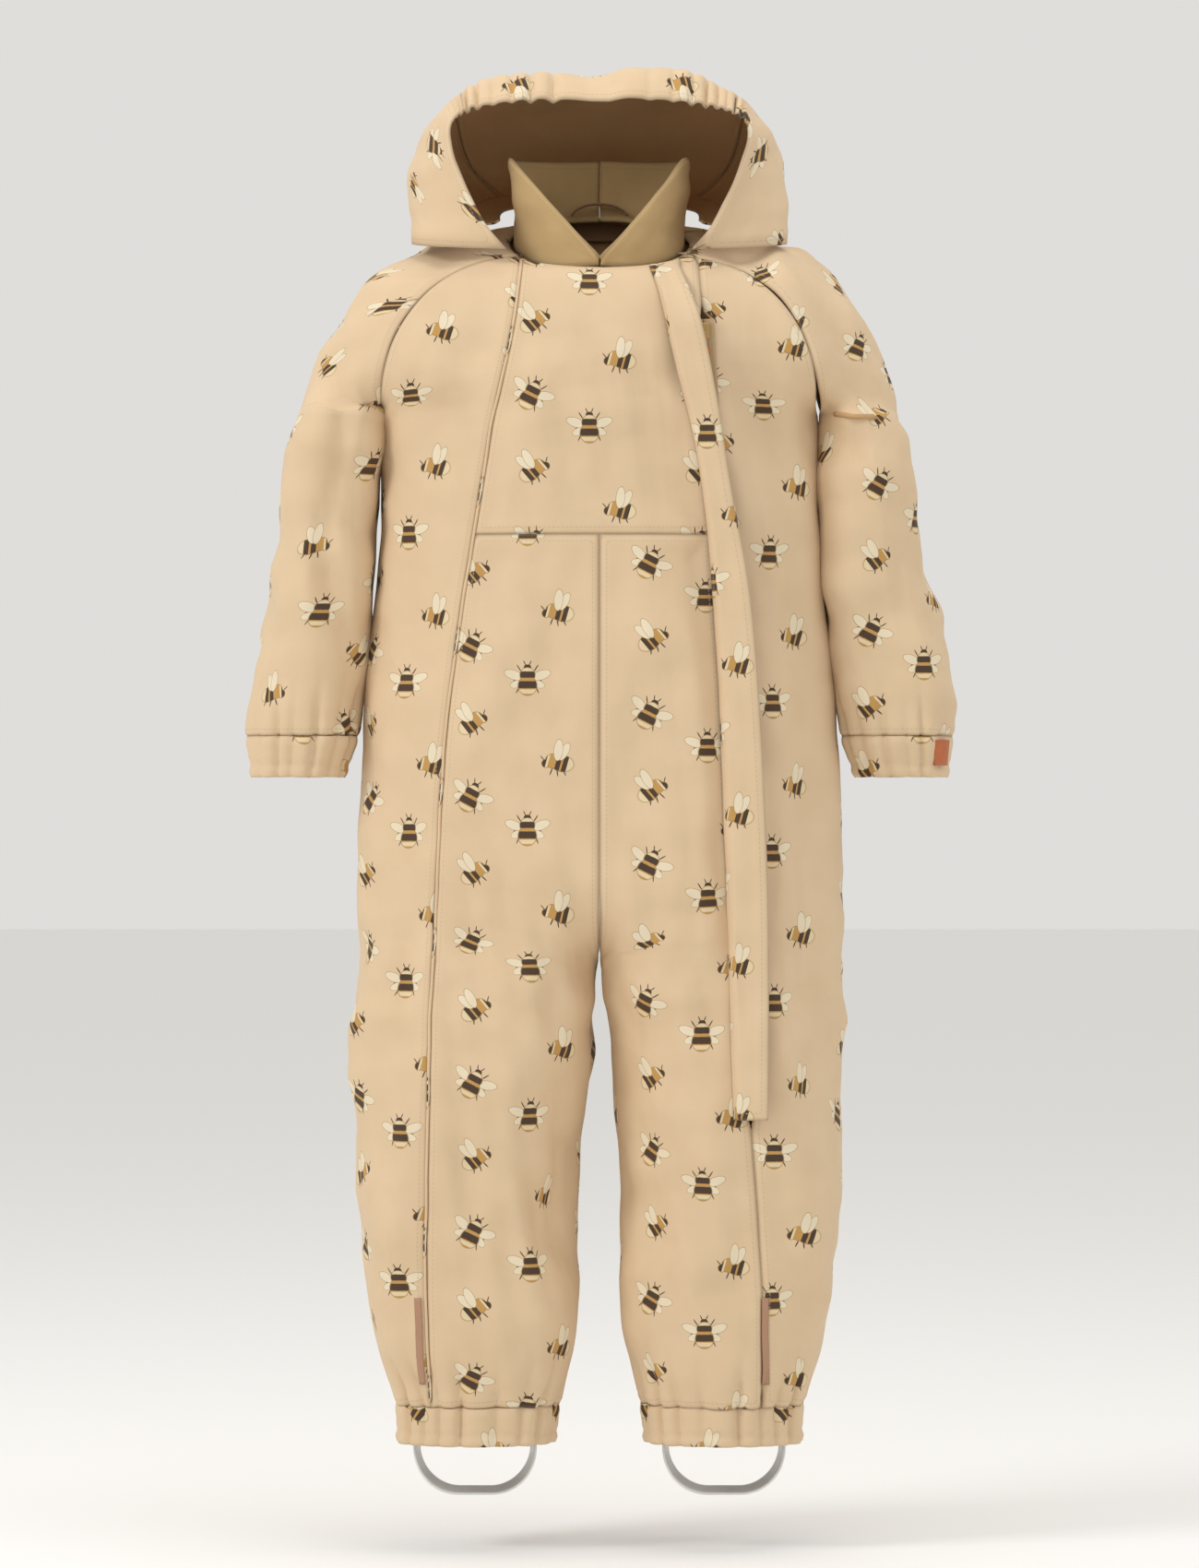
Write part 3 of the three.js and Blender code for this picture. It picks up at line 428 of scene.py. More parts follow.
BEE_DARK, BEE_GOLD = (0.06, 0.033, 0.017, 1), (0.5, 0.28, 0.08, 1)
BEE_CREAM, BEE_WING, BEE_RIM = (0.72, 0.58, 0.36, 1), (0.78, 0.68, 0.5, 1), (0.3, 0.19, 0.06, 1)
FLOAT, COLOUR, VECTOR = "NodeSocketFloat", "NodeSocketColor", "NodeSocketVector"


def set_bands(node, stops):
    """Fill a colour ramp with hard-edged bands, each a position and a colour."""
    ramp = node.color_ramp
    ramp.interpolation = "CONSTANT"
    ramp.elements[0].color = stops[0][1]
    ramp.elements[1].position, ramp.elements[1].color = stops[1]
    for position, value in stops[2:]:
        ramp.elements.new(position).color = value


def bee_from_above():
    """A bumblebee seen from above in millimetres, head up: wings, legs, then banded body."""
    tree, n, inp, out = group("Bee from above", [("X", FLOAT, 0.0), ("Y", FLOAT, 0.0),
                                                 ("Cloth", COLOUR, None)],
                              [("Color", COLOUR)])
    x, y = inp.outputs["X"], inp.outputs["Y"]
    side = n.math("ABSOLUTE", x)
    colour = inp.outputs["Cloth"]
    for cx, cy, rx, ry, turn in ((6.2, 8.6, 0.45, 3.4, -32), (8.2, 0.2, 2.9, 0.42, -28),
                                 (7.0, -7.2, 0.45, 3.6, 24)):
        colour = n.mix(n.blob(side, y, cx, cy, rx, ry, turn), colour, BEE_DARK)
    for cx, cy, rx, ry, turn in ((7.6, -3.0, 5.6, 3.0, -22), (10.2, 3.6, 7.6, 3.7, 20)):
        colour = n.mix(n.math("MULTIPLY", n.blob(side, y, cx, cy, rx, ry, turn, 9), 0.8), colour, BEE_RIM)
        colour = n.mix(n.math("MULTIPLY", n.blob(side, y, cx, cy, rx * .94, ry * .9, turn, 9), 0.93),
                       colour, BEE_WING)
    colour = n.mix(n.blob(side, y, 2.0, 12.4, 0.4, 2.3, -24), colour, BEE_DARK)
    colour = n.mix(n.blob(x, y, 0, 9.3, 2.9, 2.3), colour, BEE_DARK)
    fluff = n.add("ShaderNodeTexNoise", {"Scale": 2600.0, "Detail": 1.0, "Vector": n.add(
        "ShaderNodeUVMap", uv_map="UVMap").outputs[0]}).outputs[0]
    row = n.math("MULTIPLY_ADD", fluff, 1.6, n.math("SUBTRACT", y, 0.8))
    bands = n.add("ShaderNodeValToRGB", {0: n.math("MULTIPLY_ADD", row, 1 / 24, 0.5)})
    set_bands(bands, ((0.0, BEE_GOLD), (0.07, BEE_CREAM), (0.2, BEE_GOLD), (0.235, BEE_DARK),
                      (0.46, BEE_GOLD), (0.56, BEE_DARK), (0.76, BEE_CREAM)))
    colour = n.mix(n.blob(x, y, 0, -4.4, 7.6, 8.0), colour, BEE_RIM)
    colour = n.mix(n.blob(x, y, 0, 3.6, 6.2, 6.0), colour, BEE_RIM)
    colour = n.mix(n.blob(x, y, 0, -4.4, 7.1, 7.5), colour, bands.outputs[0])
    colour = n.mix(n.blob(x, y, 0, 3.6, 5.7, 5.6), colour, bands.outputs[0])
    n.put(out.inputs["Color"], colour)
    return tree


def bee_from_side():
    """A bumblebee seen from its side in millimetres, head to the left and wings raised."""
    tree, n, inp, out = group("Bee from side", [("X", FLOAT, 0.0), ("Y", FLOAT, 0.0),
                                                ("Cloth", COLOUR, None)],
                              [("Color", COLOUR)])
    x, y = inp.outputs["X"], inp.outputs["Y"]
    colour = inp.outputs["Cloth"]
    for cx, cy, rx, ry, turn in ((-5.5, -6.5, 0.5, 3.2, -22), (-1.0, -7.2, 0.5, 3.4, 8),
                                 (4.0, -7.0, 0.5, 3.4, 26), (-12.0, 3.4, 0.4, 2.6, 40)):
        colour = n.mix(n.blob(x, y, cx, cy, rx, ry, turn), colour, BEE_DARK)
    row = n.math("MULTIPLY_ADD", y, -0.28, x)
    bands = n.add("ShaderNodeValToRGB", {0: n.math("MULTIPLY_ADD", row, 1 / 26, 0.5)})
    set_bands(bands, ((0.0, BEE_DARK), (0.14, BEE_CREAM), (0.2, BEE_GOLD), (0.42, BEE_DARK),
                      (0.56, BEE_GOLD), (0.62, BEE_DARK), (0.76, BEE_CREAM)))
    body = ((2.6, -0.6, 8.9, 6.3, -8), (-4.4, 1.2, 5.6, 5.4, 0), (-9.6, -0.6, 2.9, 3.0, 0))
    for cx, cy, rx, ry, turn in body:
        colour = n.mix(n.blob(x, y, cx, cy, rx + 0.5, ry + 0.5, turn), colour, BEE_RIM)
    for cx, cy, rx, ry, turn in body:
        colour = n.mix(n.blob(x, y, cx, cy, rx, ry, turn), colour, bands.outputs[0])
    for cx, cy, rx, ry, turn in ((4.2, 8.2, 3.4, 7.6, -28), (-0.2, 9.4, 3.6, 8.6, -6)):
        colour = n.mix(n.math("MULTIPLY", n.blob(x, y, cx, cy, rx, ry, turn, 9), 0.8), colour, BEE_RIM)
        colour = n.mix(n.math("MULTIPLY", n.blob(x, y, cx, cy, rx * .9, ry * .94, turn, 9), 0.93), colour,
                       BEE_WING)
    n.put(out.inputs["Color"], colour)
    return tree


TILE = (124.0, 112.0)


def tile_local(n, u, v, place, turn, mirror=1):
    """Millimetres from the nearest repeat of a place in the tile, turned to the bee's own directions."""
    dx = n.math("WRAP", n.math("SUBTRACT", u, place[0]), TILE[0] / 2, -TILE[0] / 2)
    dy = n.math("WRAP", n.math("SUBTRACT", v, place[1]), TILE[1] / 2, -TILE[1] / 2)
    s, c = math.sin(math.radians(turn)), math.cos(math.radians(turn))
    x = n.math("MULTIPLY_ADD", dx, mirror * c, n.math("MULTIPLY", dy, mirror * s))
    return x, n.math("MULTIPLY_ADD", dy, c, n.math("MULTIPLY", dx, -s))


def nearest(n, first, second):
    """Of two local places, the one that is nearer to its bee."""
    size = [n.math("MULTIPLY_ADD", p[0], p[0], n.math("MULTIPLY", p[1], p[1])) for p in (first, second)]
    use = n.math("LESS_THAN", size[1], size[0])
    return tuple(n.add("ShaderNodeMix", {0: use, 2: a, 3: b}).outputs[0] for a, b in zip(first, second))


def bee_print():
    """Four bees in each repeat of the cloth: two from above and two from the side."""
    tree, n, inp, out = group("Bee print", [("Cloth", COLOUR, (0.7, 0.54, 0.35, 1))], [("Color", COLOUR)])
    uv = n.add("ShaderNodeSeparateXYZ", {0: n.add("ShaderNodeUVMap", uv_map="UVMap").outputs[0]})
    u, v = n.math("MULTIPLY", uv.outputs[0], 1000.0), n.math("MULTIPLY", uv.outputs[1], 1000.0)
    above = nearest(n, tile_local(n, u, v, (0, 0), 0), tile_local(n, u, v, (-43.2, 24.7), -27))
    beside = nearest(n, tile_local(n, u, v, (23.3, -61.8), 0), tile_local(n, u, v, (-41.2, -32.3), 24, -1))
    first = n.add("ShaderNodeGroup", {}, node_tree=bee_from_side())
    for key, value in zip(("X", "Y", "Cloth"), (*beside, inp.outputs["Cloth"])):
        n.put(first.inputs[key], value)
    second = n.add("ShaderNodeGroup", {}, node_tree=bee_from_above())
    for key, value in zip(("X", "Y", "Cloth"), (*above, first.outputs[0])):
        n.put(second.inputs[key], value)
    n.put(out.inputs["Color"], second.outputs[0])
    return tree


def weave_group():
    """Fine twill: crossing threads as a height from 0 to 1, with a slow mottle of shade."""
    tree, n, inp, out = group("Weave", [("Threads per metre", FLOAT, 1400.0)],
                              [("Height", FLOAT), ("Shade", FLOAT)])
    uv = n.add("ShaderNodeUVMap", uv_map="UVMap").outputs[0]
    part = n.add("ShaderNodeSeparateXYZ", {0: uv})
    count = n.math("MULTIPLY", inp.outputs[0], 2 * math.pi)
    warp = n.math("SINE", n.math("MULTIPLY", n.math("ADD", part.outputs[0], part.outputs[1]), count))
    weft = n.math("SINE", n.math("MULTIPLY", n.math("SUBTRACT", part.outputs[1], part.outputs[0]), count))
    n.put(out.inputs[0], n.math("MULTIPLY_ADD", n.math("MULTIPLY", warp, weft), 0.5, 0.5))
    noise = n.add("ShaderNodeTexNoise", {"Vector": uv, "Scale": 26.0, "Detail": 4.0}).outputs[0]
    n.put(out.inputs[1], noise)
    return tree


def seam_group():
    """Topstitching beside a seam: a dashed line 5 mm in, and painted shade, a dark band in the seam itself.
    """
    tree, n, inp, out = group("Seam stitching and shade", [("Inset", FLOAT, 0.0052)],
                              [("Stitch", FLOAT), ("Seam shade", FLOAT)])
    near = n.add("ShaderNodeSeparateXYZ", {0: n.add("ShaderNodeUVMap", uv_map="Seam").outputs[0]}).outputs[0]
    part = n.add("ShaderNodeSeparateXYZ", {0: n.add("ShaderNodeUVMap", uv_map="UVMap").outputs[0]})
    off = n.math("ABSOLUTE", n.math("SUBTRACT", near, inp.outputs[0]))
    line = n.math("MULTIPLY", n.math("SUBTRACT", 0.00055, off), 4000.0, clamp=True)
    along = n.math("SINE", n.math("MULTIPLY", n.math("ADD", part.outputs[0], part.outputs[1]),
                                  2 * math.pi / 0.0034))
    n.put(out.inputs[0], n.math("MULTIPLY", line, n.math("MULTIPLY_ADD", along, 2.0, 1.2, clamp=True)))
    # painted shade: 1 at the seam, fading to 0 at 2.2 mm from it
    n.put(out.inputs[1], n.math("MULTIPLY", n.math("SUBTRACT", 0.0022, near), 450.0, clamp=True))
    return tree


GROUPS = {}


def shared(name, build):
    """The named node group, built the first time it is asked for."""
    if name not in GROUPS:
        GROUPS[name] = build()
    return GROUPS[name]


def new_material(name):
    """An empty material, its node helper and its shader."""
    material = bpy.data.materials.new(name)
    material.use_nodes = True
    return material, Nodes(material.node_tree), material.node_tree.nodes["Principled BSDF"]


def cloth_material(name, colour, printed=False, rough=0.85, stitched=True, threads=1400.0, bump=0.12,
                   sheen=0.05):
    """Woven cloth: the print if there is one, mottled shade, stitch lines, painted shade along the seams,
    weave in the bump.
    """
    material, n, shader = new_material(name)
    weave = n.add("ShaderNodeGroup", {}, node_tree=shared("weave", weave_group))
    weave.inputs[0].default_value = threads
    base = (*colour, 1)
    if printed:
        bees = n.add("ShaderNodeGroup", {}, node_tree=shared("bees", bee_print))
        bees.inputs["Cloth"].default_value = base
        base = bees.outputs[0]
    darker = n.add("ShaderNodeMix", {0: 1.0, 6: base, 7: (0.86, 0.84, 0.8, 1)}, data_type="RGBA",
                   blend_type="MULTIPLY").outputs[2]
    shade = n.math("MULTIPLY_ADD", weave.outputs[1], 1.8, -0.5, clamp=True)
    tone = n.mix(n.math("MULTIPLY", shade, 0.55), base, darker)
    height = weave.outputs[0]
    if stitched:
        seam = n.add("ShaderNodeGroup", {}, node_tree=shared("seam", seam_group))
        stitch_colour = tuple(0.72 * c for c in colour)
        # painted shade: darkens the cloth colour in a narrow band along each seam
        tone = n.mix(n.math("MULTIPLY", seam.outputs[1], 0.45), tone, (*[0.35 * c for c in colour], 1))
        tone = n.mix(n.math("MULTIPLY", seam.outputs[0], 0.55), tone, (*stitch_colour, 1))
        height = n.math("MULTIPLY_ADD", seam.outputs[0], -2.5, height)
    bumped = n.add("ShaderNodeBump", {"Strength": bump, "Distance": 0.0004, "Height": height})
    n.put(shader.inputs["Normal"], bumped.outputs[0])
    n.put(shader.inputs["Base Color"], tone)
    n.put(shader.inputs["Roughness"], n.math("MULTIPLY_ADD", weave.outputs[1], 0.12, rough - 0.06))
    shader.inputs["Sheen Weight"].default_value = sheen
    shader.inputs["Sheen Roughness"].default_value = 0.5
    return material


def grain_material(name, colour, rough, metal=0.0, scale=900.0, bump=0.15, coat=0.0,
                   transmission=0.0):
    """Leather, metal or moulded plastic: noise grain in the colour, roughness and bump."""
    material, n, shader = new_material(name)
    place = n.add("ShaderNodeTexCoord").outputs["Object"]
    fine = n.add("ShaderNodeTexNoise", {"Vector": place, "Scale": scale, "Detail": 3.0}).outputs[0]
    broad = n.add("ShaderNodeTexNoise", {"Vector": place, "Scale": scale / 9, "Detail": 2.0}).outputs[0]
    n.put(shader.inputs["Base Color"], n.mix(broad, (*[c * 0.78 for c in colour], 1), (*colour, 1)))
    n.put(shader.inputs["Roughness"], n.math("MULTIPLY_ADD", fine, 0.2, rough - 0.1))
    n.put(shader.inputs["Normal"], n.add("ShaderNodeBump", {"Strength": bump, "Distance": 0.0003,
                                                           "Height": fine}).outputs[0])
    shader.inputs["Metallic"].default_value = metal
    shader.inputs["Coat Weight"].default_value = coat
    shader.inputs["Transmission Weight"].default_value = transmission
    return material


MATERIALS = {}


def finish(name):
    """The named finish, made the first time it is asked for, from the colours in the panel."""
    if name in MATERIALS:
        return MATERIALS[name]
    tones = bpy.context.scene.coverall_tones
    makers = {
        "print": lambda: cloth_material("Bee printed cloth", tones.cloth, printed=True),
        "cuff": lambda: cloth_material("Cuff cloth", tones.cloth, printed=True, stitched=False),
        "collar": lambda: cloth_material("Collar jersey", tones.collar, threads=900.0,
                                         bump=0.35, rough=0.95),
        "lining": lambda: cloth_material("Fleece lining", tones.lining, threads=650.0,
                                         bump=0.4, rough=0.95),
        "facing": lambda: cloth_material("Neck facing", tones.facing, stitched=False, threads=800.0,
                                         bump=0.3),
        "reflective": lambda: cloth_material("Reflective tape", (0.4, 0.22, 0.13), stitched=False,
                                             rough=0.4, threads=2200.0),
        "tape": lambda: cloth_material("Zip tape", (0.46, 0.32, 0.17), stitched=False, threads=1800.0),
        "leather": lambda: grain_material("Tan leather", tones.leather, 0.5, scale=1400.0, bump=0.4),
        "metal": lambda: grain_material("Antique brass", (0.5, 0.32, 0.13), 0.35, metal=1.0),
        "teeth": lambda: grain_material("Zip teeth", (0.42, 0.27, 0.13), 0.45),
        "strap": lambda: grain_material("Frosted strap plastic", (0.88, 0.89, 0.86), 0.32, scale=500.0,
                                        bump=0.05, coat=0.2, transmission=0.1),
    }
    MATERIALS[name] = makers[name]()
    return MATERIALS[name]


# ---- properties -----------------------------------------------------------------------------------
def tone(label, default):
    return bpy.props.FloatVectorProperty(name=label, description=label + " colour", default=default, size=3,
                                         min=0, max=1, subtype="COLOR")


class CoverallTones(bpy.types.PropertyGroup):
    """Colours of the cloth and the leather"""

    cloth: tone("Cloth", (0.68, 0.51, 0.325))
    collar: tone("Collar", (0.52, 0.36, 0.17))
    lining: tone("Lining", (0.52, 0.32, 0.15))
    facing: tone("Neck facing", (0.27, 0.15, 0.08))
    leather: tone("Leather", (0.50, 0.13, 0.035))


class CoverallSizes(bpy.types.PropertyGroup):
    """Grid, wall and crease strength of the cloth"""

    grid: bpy.props.FloatProperty(name="Grid", description="Spacing of the cloth grid", default=0.0035,
                                  min=0.001, subtype="DISTANCE", unit="LENGTH")
    wall: bpy.props.FloatProperty(name="Cloth wall", description="Thickness of the cloth", default=0.0015,
                                  min=0.0005, subtype="DISTANCE", unit="LENGTH")
    crease: bpy.props.FloatProperty(name="Creases", description="Strength of the creases", default=1.0, min=0)


def spread(start, end, step):
    """Evenly spaced values between two ends, no further apart than the step."""
    return np.linspace(start, end, max(2, int(math.ceil(abs(end - start) / step)) + 1))


def level_rows(top, bottom):
    """Levels for cloth rows, closer together where the cloth turns under at the arm and at the seat."""
    step = bpy.context.scene.coverall_sizes.grid * 1000 / 100
    shoulder = 1 - np.linspace(1, 0, 64) ** 1.5
    seat = 5.08 - 0.6 * (1 - np.sin(np.linspace(0, math.pi / 2, 26)))
    rows = np.concatenate([shoulder, spread(1, 4.48, step), seat, spread(5.08, 8.77, step)])
    rows = np.unique(np.round(rows, 5))
    rows = rows[(rows > top + 0.004) & (rows < bottom - 0.004)]
    return np.concatenate([[top], rows, [bottom]])


def z_level(z):
    """Level of a row below the underarm from its height."""
    return 1 + (ARMPIT_Z - z) / 100


ANKLE_GATHERS, WRIST_GATHERS, BRIM_GATHERS = 19, 15, 34


def puffs(turn, count, phase):
    """Gathers around a ring: round puffs with narrow valleys, their spacing made uneven by two slow waves."""
    uneven = 0.35 * np.sin(2 * math.pi * 3 * turn + phase) + 0.25 * np.sin(2 * math.pi * 5 * turn + 2 * phase)
    ridge = np.abs(np.sin(math.pi * count * turn + uneven * 2))
    return (1 - 2 * (1 - ridge) ** 1.6) * (0.75 + 0.35 * np.sin(2 * math.pi * 7 * turn + 3 * phase))


def ankle_gathers(around, z):
    """Height in mm of the gathers that grow down the leg towards its cuff."""
    return (3.6 * puffs(np.abs(around), ANKLE_GATHERS, 0.8) - 0.8) * smooth(-z, 846, 914) ** 1.4


def cut_size(points):
    """Width, length and area in metres of the flat cut, along the smooth surface before it creases."""
    across, along = np.diff(points, axis=1)[:-1], np.diff(points, axis=0)[:, :-1]
    area = np.linalg.norm(np.cross(across, along), axis=-1).sum()
    width, length = lengths(points, 1)[:, -1].max(), lengths(points, 0)[-1].max()
    return (width * MM, length * MM), min(area, width * length) * MM * MM


def place_piece(piece, nodes, body=None, bend=None):
    """Hide the frame parts a piece replaces; a piece given a bend has its transform baked into its mesh, any
    other is parented to its body.
    """
    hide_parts(*nodes)
    if bend:
        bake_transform(piece)
    else:
        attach(piece, body)


def eased(points, from_side):
    """Round off the turns under the arm and under the seat by averaging along the columns there."""
    z = points[..., 2]
    underarm = np.exp(-((z + 175) / 26) ** 2) * smooth(from_side, 0, 0.07)
    where = underarm + np.exp(-((z - CROTCH_Z - 6) / 30) ** 2)
    for _ in range(60):
        middle = (points[:-2] + points[2:]) / 2
        points[1:-1] += (middle - points[1:-1]) * (0.5 * where[1:-1, :, None])
    return points


def wall_mm():
    """Thickness of the cloth in mm."""
    return bpy.context.scene.coverall_sizes.wall * 1000


def knee(name, side):
    """Bodies above and below the knee, and where the cloth between them starts and ends."""
    return ("torso", f"shin_{name}", (side * 0.0965, BODY_Y, -0.700), (side * 0.0965, BODY_Y, -0.800))


def trunk_panel(name, start, end, top, bottom, place):
    """A trunk panel between two seams; a seam is a turn, or a line of x with its side and offset in mm."""
    levels = level_rows(top, bottom)

    def seam_turn(seam):
        if isinstance(seam, tuple):
            line, side, offset = seam
            return side * turn_at(lambda z: line(z) + offset * smooth(z, -700, -688) * smooth(-z, 82, 98),
                                  levels)
        return np.full_like(levels, seam)

    first, last = seam_turn(start), seam_turn(end)
    spacing = bpy.context.scene.coverall_sizes.grid * 1000
    columns = int(np.clip(np.abs(last - first).max() * 520 / spacing, 8, 170))
    around = first[:, None] + (last - first)[:, None] * np.linspace(0, 1, columns)
    around = np.where(around > 1, around - 2, around)
    level = np.broadcast_to(levels[:, None], around.shape)
    points = eased(trunk(around, level), np.abs(np.abs(around) - 0.5))
    z = points[..., 2]
    strength = bpy.context.scene.coverall_sizes.crease * trunk_strength(z)
    moved, near = cloth_grid(points, tube_inside, strength, gathers=ankle_gathers(around, z))
    piece = add_surface(name, moved, panel_uv(points, place), near, finish("print"), tube_inside,
                        wall=wall_mm(), lining=finish("lining"))
    return piece, cut_size(points)


YOKE_LEVEL, LEG_SEAM_LEVEL, HEM_LEVEL = z_level(YOKE_Z), z_level(LEG_SEAM_Z), z_level(HEM_Z)
FRONT_SIDE, BACK_SIDE = 0.4999, 0.5001


def box_corners(size):
    """The eight corners of a box of this size about its middle."""
    return np.array([(i, j, k) for i in (-.5, .5) for j in (-.5, .5) for k in (-.5, .5)]) * size


def bevel_box(name, size, centre, across, down, material, bevel=0.5):
    """A box in mm with bevelled edges, set by two of its directions."""
    across, down = np.array(across, float), np.array(down, float)
    out = np.cross(across, down)
    co = (box_corners(size) @ np.stack([across, out, down]) + centre) * MM + (0, BODY_Y, 0)
    faces = [(0, 1, 3, 2), (4, 6, 7, 5), (0, 4, 5, 1), (2, 3, 7, 6), (0, 2, 6, 4), (1, 5, 7, 3)]
    mesh = bpy.data.meshes.new(name)
    mesh.from_pydata(co.tolist(), [], faces)
    if np.linalg.det(np.stack([across, out, down])) < 0:
        mesh.flip_normals()
    mesh.materials.append(material)
    piece = bpy.data.objects.new(name.replace(" ", "_"), mesh)
    bpy.context.scene.collection.objects.link(piece)
    edge = piece.modifiers.new("Edges", "BEVEL")
    edge.width, edge.segments = bevel * MM, 3
    mesh.polygons.foreach_set("use_smooth", np.ones(6, bool))
    return piece


def strip(name, centre, width, wall, material, columns=5, place=(0, 0), inside=None):
    """A narrow band: centre gives points for offsets across from minus to plus half the width."""
    offsets = np.linspace(-width / 2, width / 2, columns)
    points = np.stack([centre(offset) for offset in offsets], 1)
    across = lengths(points, 1)
    near = np.minimum(across, across[:, -1:] - across) + 9
    return add_surface(name, points, panel_uv(points, place), near, material, inside, wall=wall)


class OnePiece:
    """Base of the operators: runs make()."""

    bl_options = {"REGISTER", "UNDO"}

    def execute(self, context):
        self.make()
        return {"FINISHED"}


class COVERALL_OT_trunk(OnePiece, bpy.types.Operator):
    """Make the yokes and the long front, side and back panels"""

    bl_idname = "coverall.trunk"
    bl_label = "Trunk and legs"

    def make(self):
        yoke, cut = trunk_panel("Front yoke", (piping_x, -1, 0), (zip_x, 1, -2), 0, YOKE_LEVEL,
                                (-7.5, -176.4))
        place_piece(yoke, ["front_yoke"], "torso")
        yoke, cut = trunk_panel("Back yoke", BACK_SIDE, 2 - BACK_SIDE, 0, YOKE_LEVEL, (10, -160))
        place_piece(yoke, ["back_yoke"], "torso")
        fronts = {"right": ((piping_x, -1, 0), -1e-6), "left": (1e-6, (zip_x, 1, -2))}
        sides = {"right": (-FRONT_SIDE, (piping_x, -1, 0)), "left": ((zip_x, 1, 2), FRONT_SIDE)}
        places = {"right": ((-53.5, -351.5), (-140, -363)), "left": ((80, -291), (123, -154))}
        for name, side in SIDES:
            panel, cut = trunk_panel(f"Front panel {name}", *fronts[name], YOKE_LEVEL, LEG_SEAM_LEVEL,
                                     places[name][0])
            place_piece(panel, [f"front_panel_{name}", f"knee_fold_{name}", f"lower_leg_{name}"],
                        bend=knee(name, side))
            panel, cut = trunk_panel(f"Side front {name}", *sides[name], 0, LEG_SEAM_LEVEL, places[name][1])
            place_piece(panel, [f"side_front_{name}"], bend=knee(name, side))
            ends = (-1, -BACK_SIDE) if side < 0 else (BACK_SIDE, 1)
            panel, cut = trunk_panel(f"Back panel {name}", *ends, YOKE_LEVEL, LEG_SEAM_LEVEL,
                                     (side * 60, -330))
            place_piece(panel, [f"back_panel_{name}"], bend=knee(name, side))


class COVERALL_OT_leg_cuffs(OnePiece, bpy.types.Operator):
    """Make the gathered cuffs at the ankles"""

    bl_idname = "coverall.leg_cuffs"
    bl_label = "Leg cuffs"

    def make(self):
        levels = np.linspace(LEG_SEAM_LEVEL, HEM_LEVEL, 16)
        turns = np.linspace(1e-6, 1, 181)
        for name, side in SIDES:
            around, level = np.meshgrid(side * turns, levels)
            points = trunk(around, level, -0.3)
            down = (level - LEG_SEAM_LEVEL) / (HEM_LEVEL - LEG_SEAM_LEVEL)
            ring = puffs(turns, ANKLE_GATHERS, 0.8)
            gathers = (3.6 * ring - 0.8) * (1 - 0.3 * down) - 1.4 * np.exp(-((down - 0.72) / 0.1) ** 2)
            moved, near = cloth_grid(points, tube_inside, 0.2, seams="tb", gathers=gathers, pinch=0.8)
            cuff = add_surface(f"Leg cuff {name}", moved, panel_uv(points, (side * 30, -880)), near,
                               finish("cuff"), tube_inside, wall=wall_mm(), lining=finish("lining"))
            above = trunk(side * turns, np.full_like(turns, z_level(-820)))
            place_piece(cuff, [f"leg_cuff_{name}"], f"shin_{name}")


class COVERALL_OT_sleeves(OnePiece, bpy.types.Operator):
    """Make the raglan sleeves from the neckline to the wrist, and their gathered cuffs"""

    bl_idname = "coverall.sleeves"
    bl_label = "Sleeves"

    def make(self):
        turns = np.linspace(0, 1, 120)
        ring = puffs(turns, WRIST_GATHERS, 1.7)
        for name, side in SIDES:
            turn, level = np.meshgrid(turns, level_rows(0, z_level(WRIST_Z)))
            points = sleeve(side, turn, level)
            z = points[..., 2]
            bends = 0.9 + 0.8 * np.exp(-((z + 180) / 50) ** 2) + 0.6 * np.exp(-((z + 300) / 40) ** 2)
            gathers = (3.2 * ring - 0.8) * smooth(-z, 346, 410) ** 1.4
            moved, near = cloth_grid(points, sleeve_inside, bends, gathers=gathers)
            place = ((-213, -200), (0, 0), (213, -240))[side + 1]
            piece = add_surface(f"Sleeve {name}", moved, panel_uv(points, place), near, finish("print"),
                                sleeve_inside, wall=wall_mm(), lining=finish("lining"))
            bend = ("torso", f"sleeve_{name}", (side * .18, BODY_Y, -.085), (side * .20, BODY_Y, -.197))
            place_piece(piece, [f"raglan_shoulder_{name}", f"shoulder_fold_{name}", f"sleeve_{name}"],
                        bend=bend)
            turn, level = np.meshgrid(turns, np.linspace(z_level(WRIST_Z), z_level(SLEEVE_END_Z), 16))
            points = sleeve(side, turn, level, -0.3)
            down = (WRIST_Z - points[..., 2]) / (WRIST_Z - SLEEVE_END_Z)
            gathers = (3.2 * ring - 0.8) * (1 - 0.3 * down) - 1.2 * np.exp(-((down - 0.7) / 0.1) ** 2)
            moved, near = cloth_grid(points, sleeve_inside, 0.2, seams="tb", gathers=gathers, pinch=0.8)
            cuff = add_surface(f"Sleeve cuff {name}", moved, panel_uv(points, (side * 213, -400)), near,
                               finish("cuff"), sleeve_inside, wall=wall_mm(), lining=finish("lining"))
            above = sleeve(side, turns, np.full_like(turns, z_level(-340)))
            place_piece(cuff, [f"sleeve_cuff_{name}"], f"sleeve_{name}")
        turn, level = np.meshgrid(np.linspace(.352, .425, 8), np.linspace(z_level(-409), z_level(-428), 8))
        points = sleeve(1, turn, level, 2.4)
        _, near = cloth_grid(points, sleeve_inside, 0.0)
        label = add_surface("Cuff label", points, panel_uv(points, (0, 0)), near, finish("leather"),
                            sleeve_inside, wall=1.4)
        place_piece(label, ["cuff_label"], "sleeve_left")


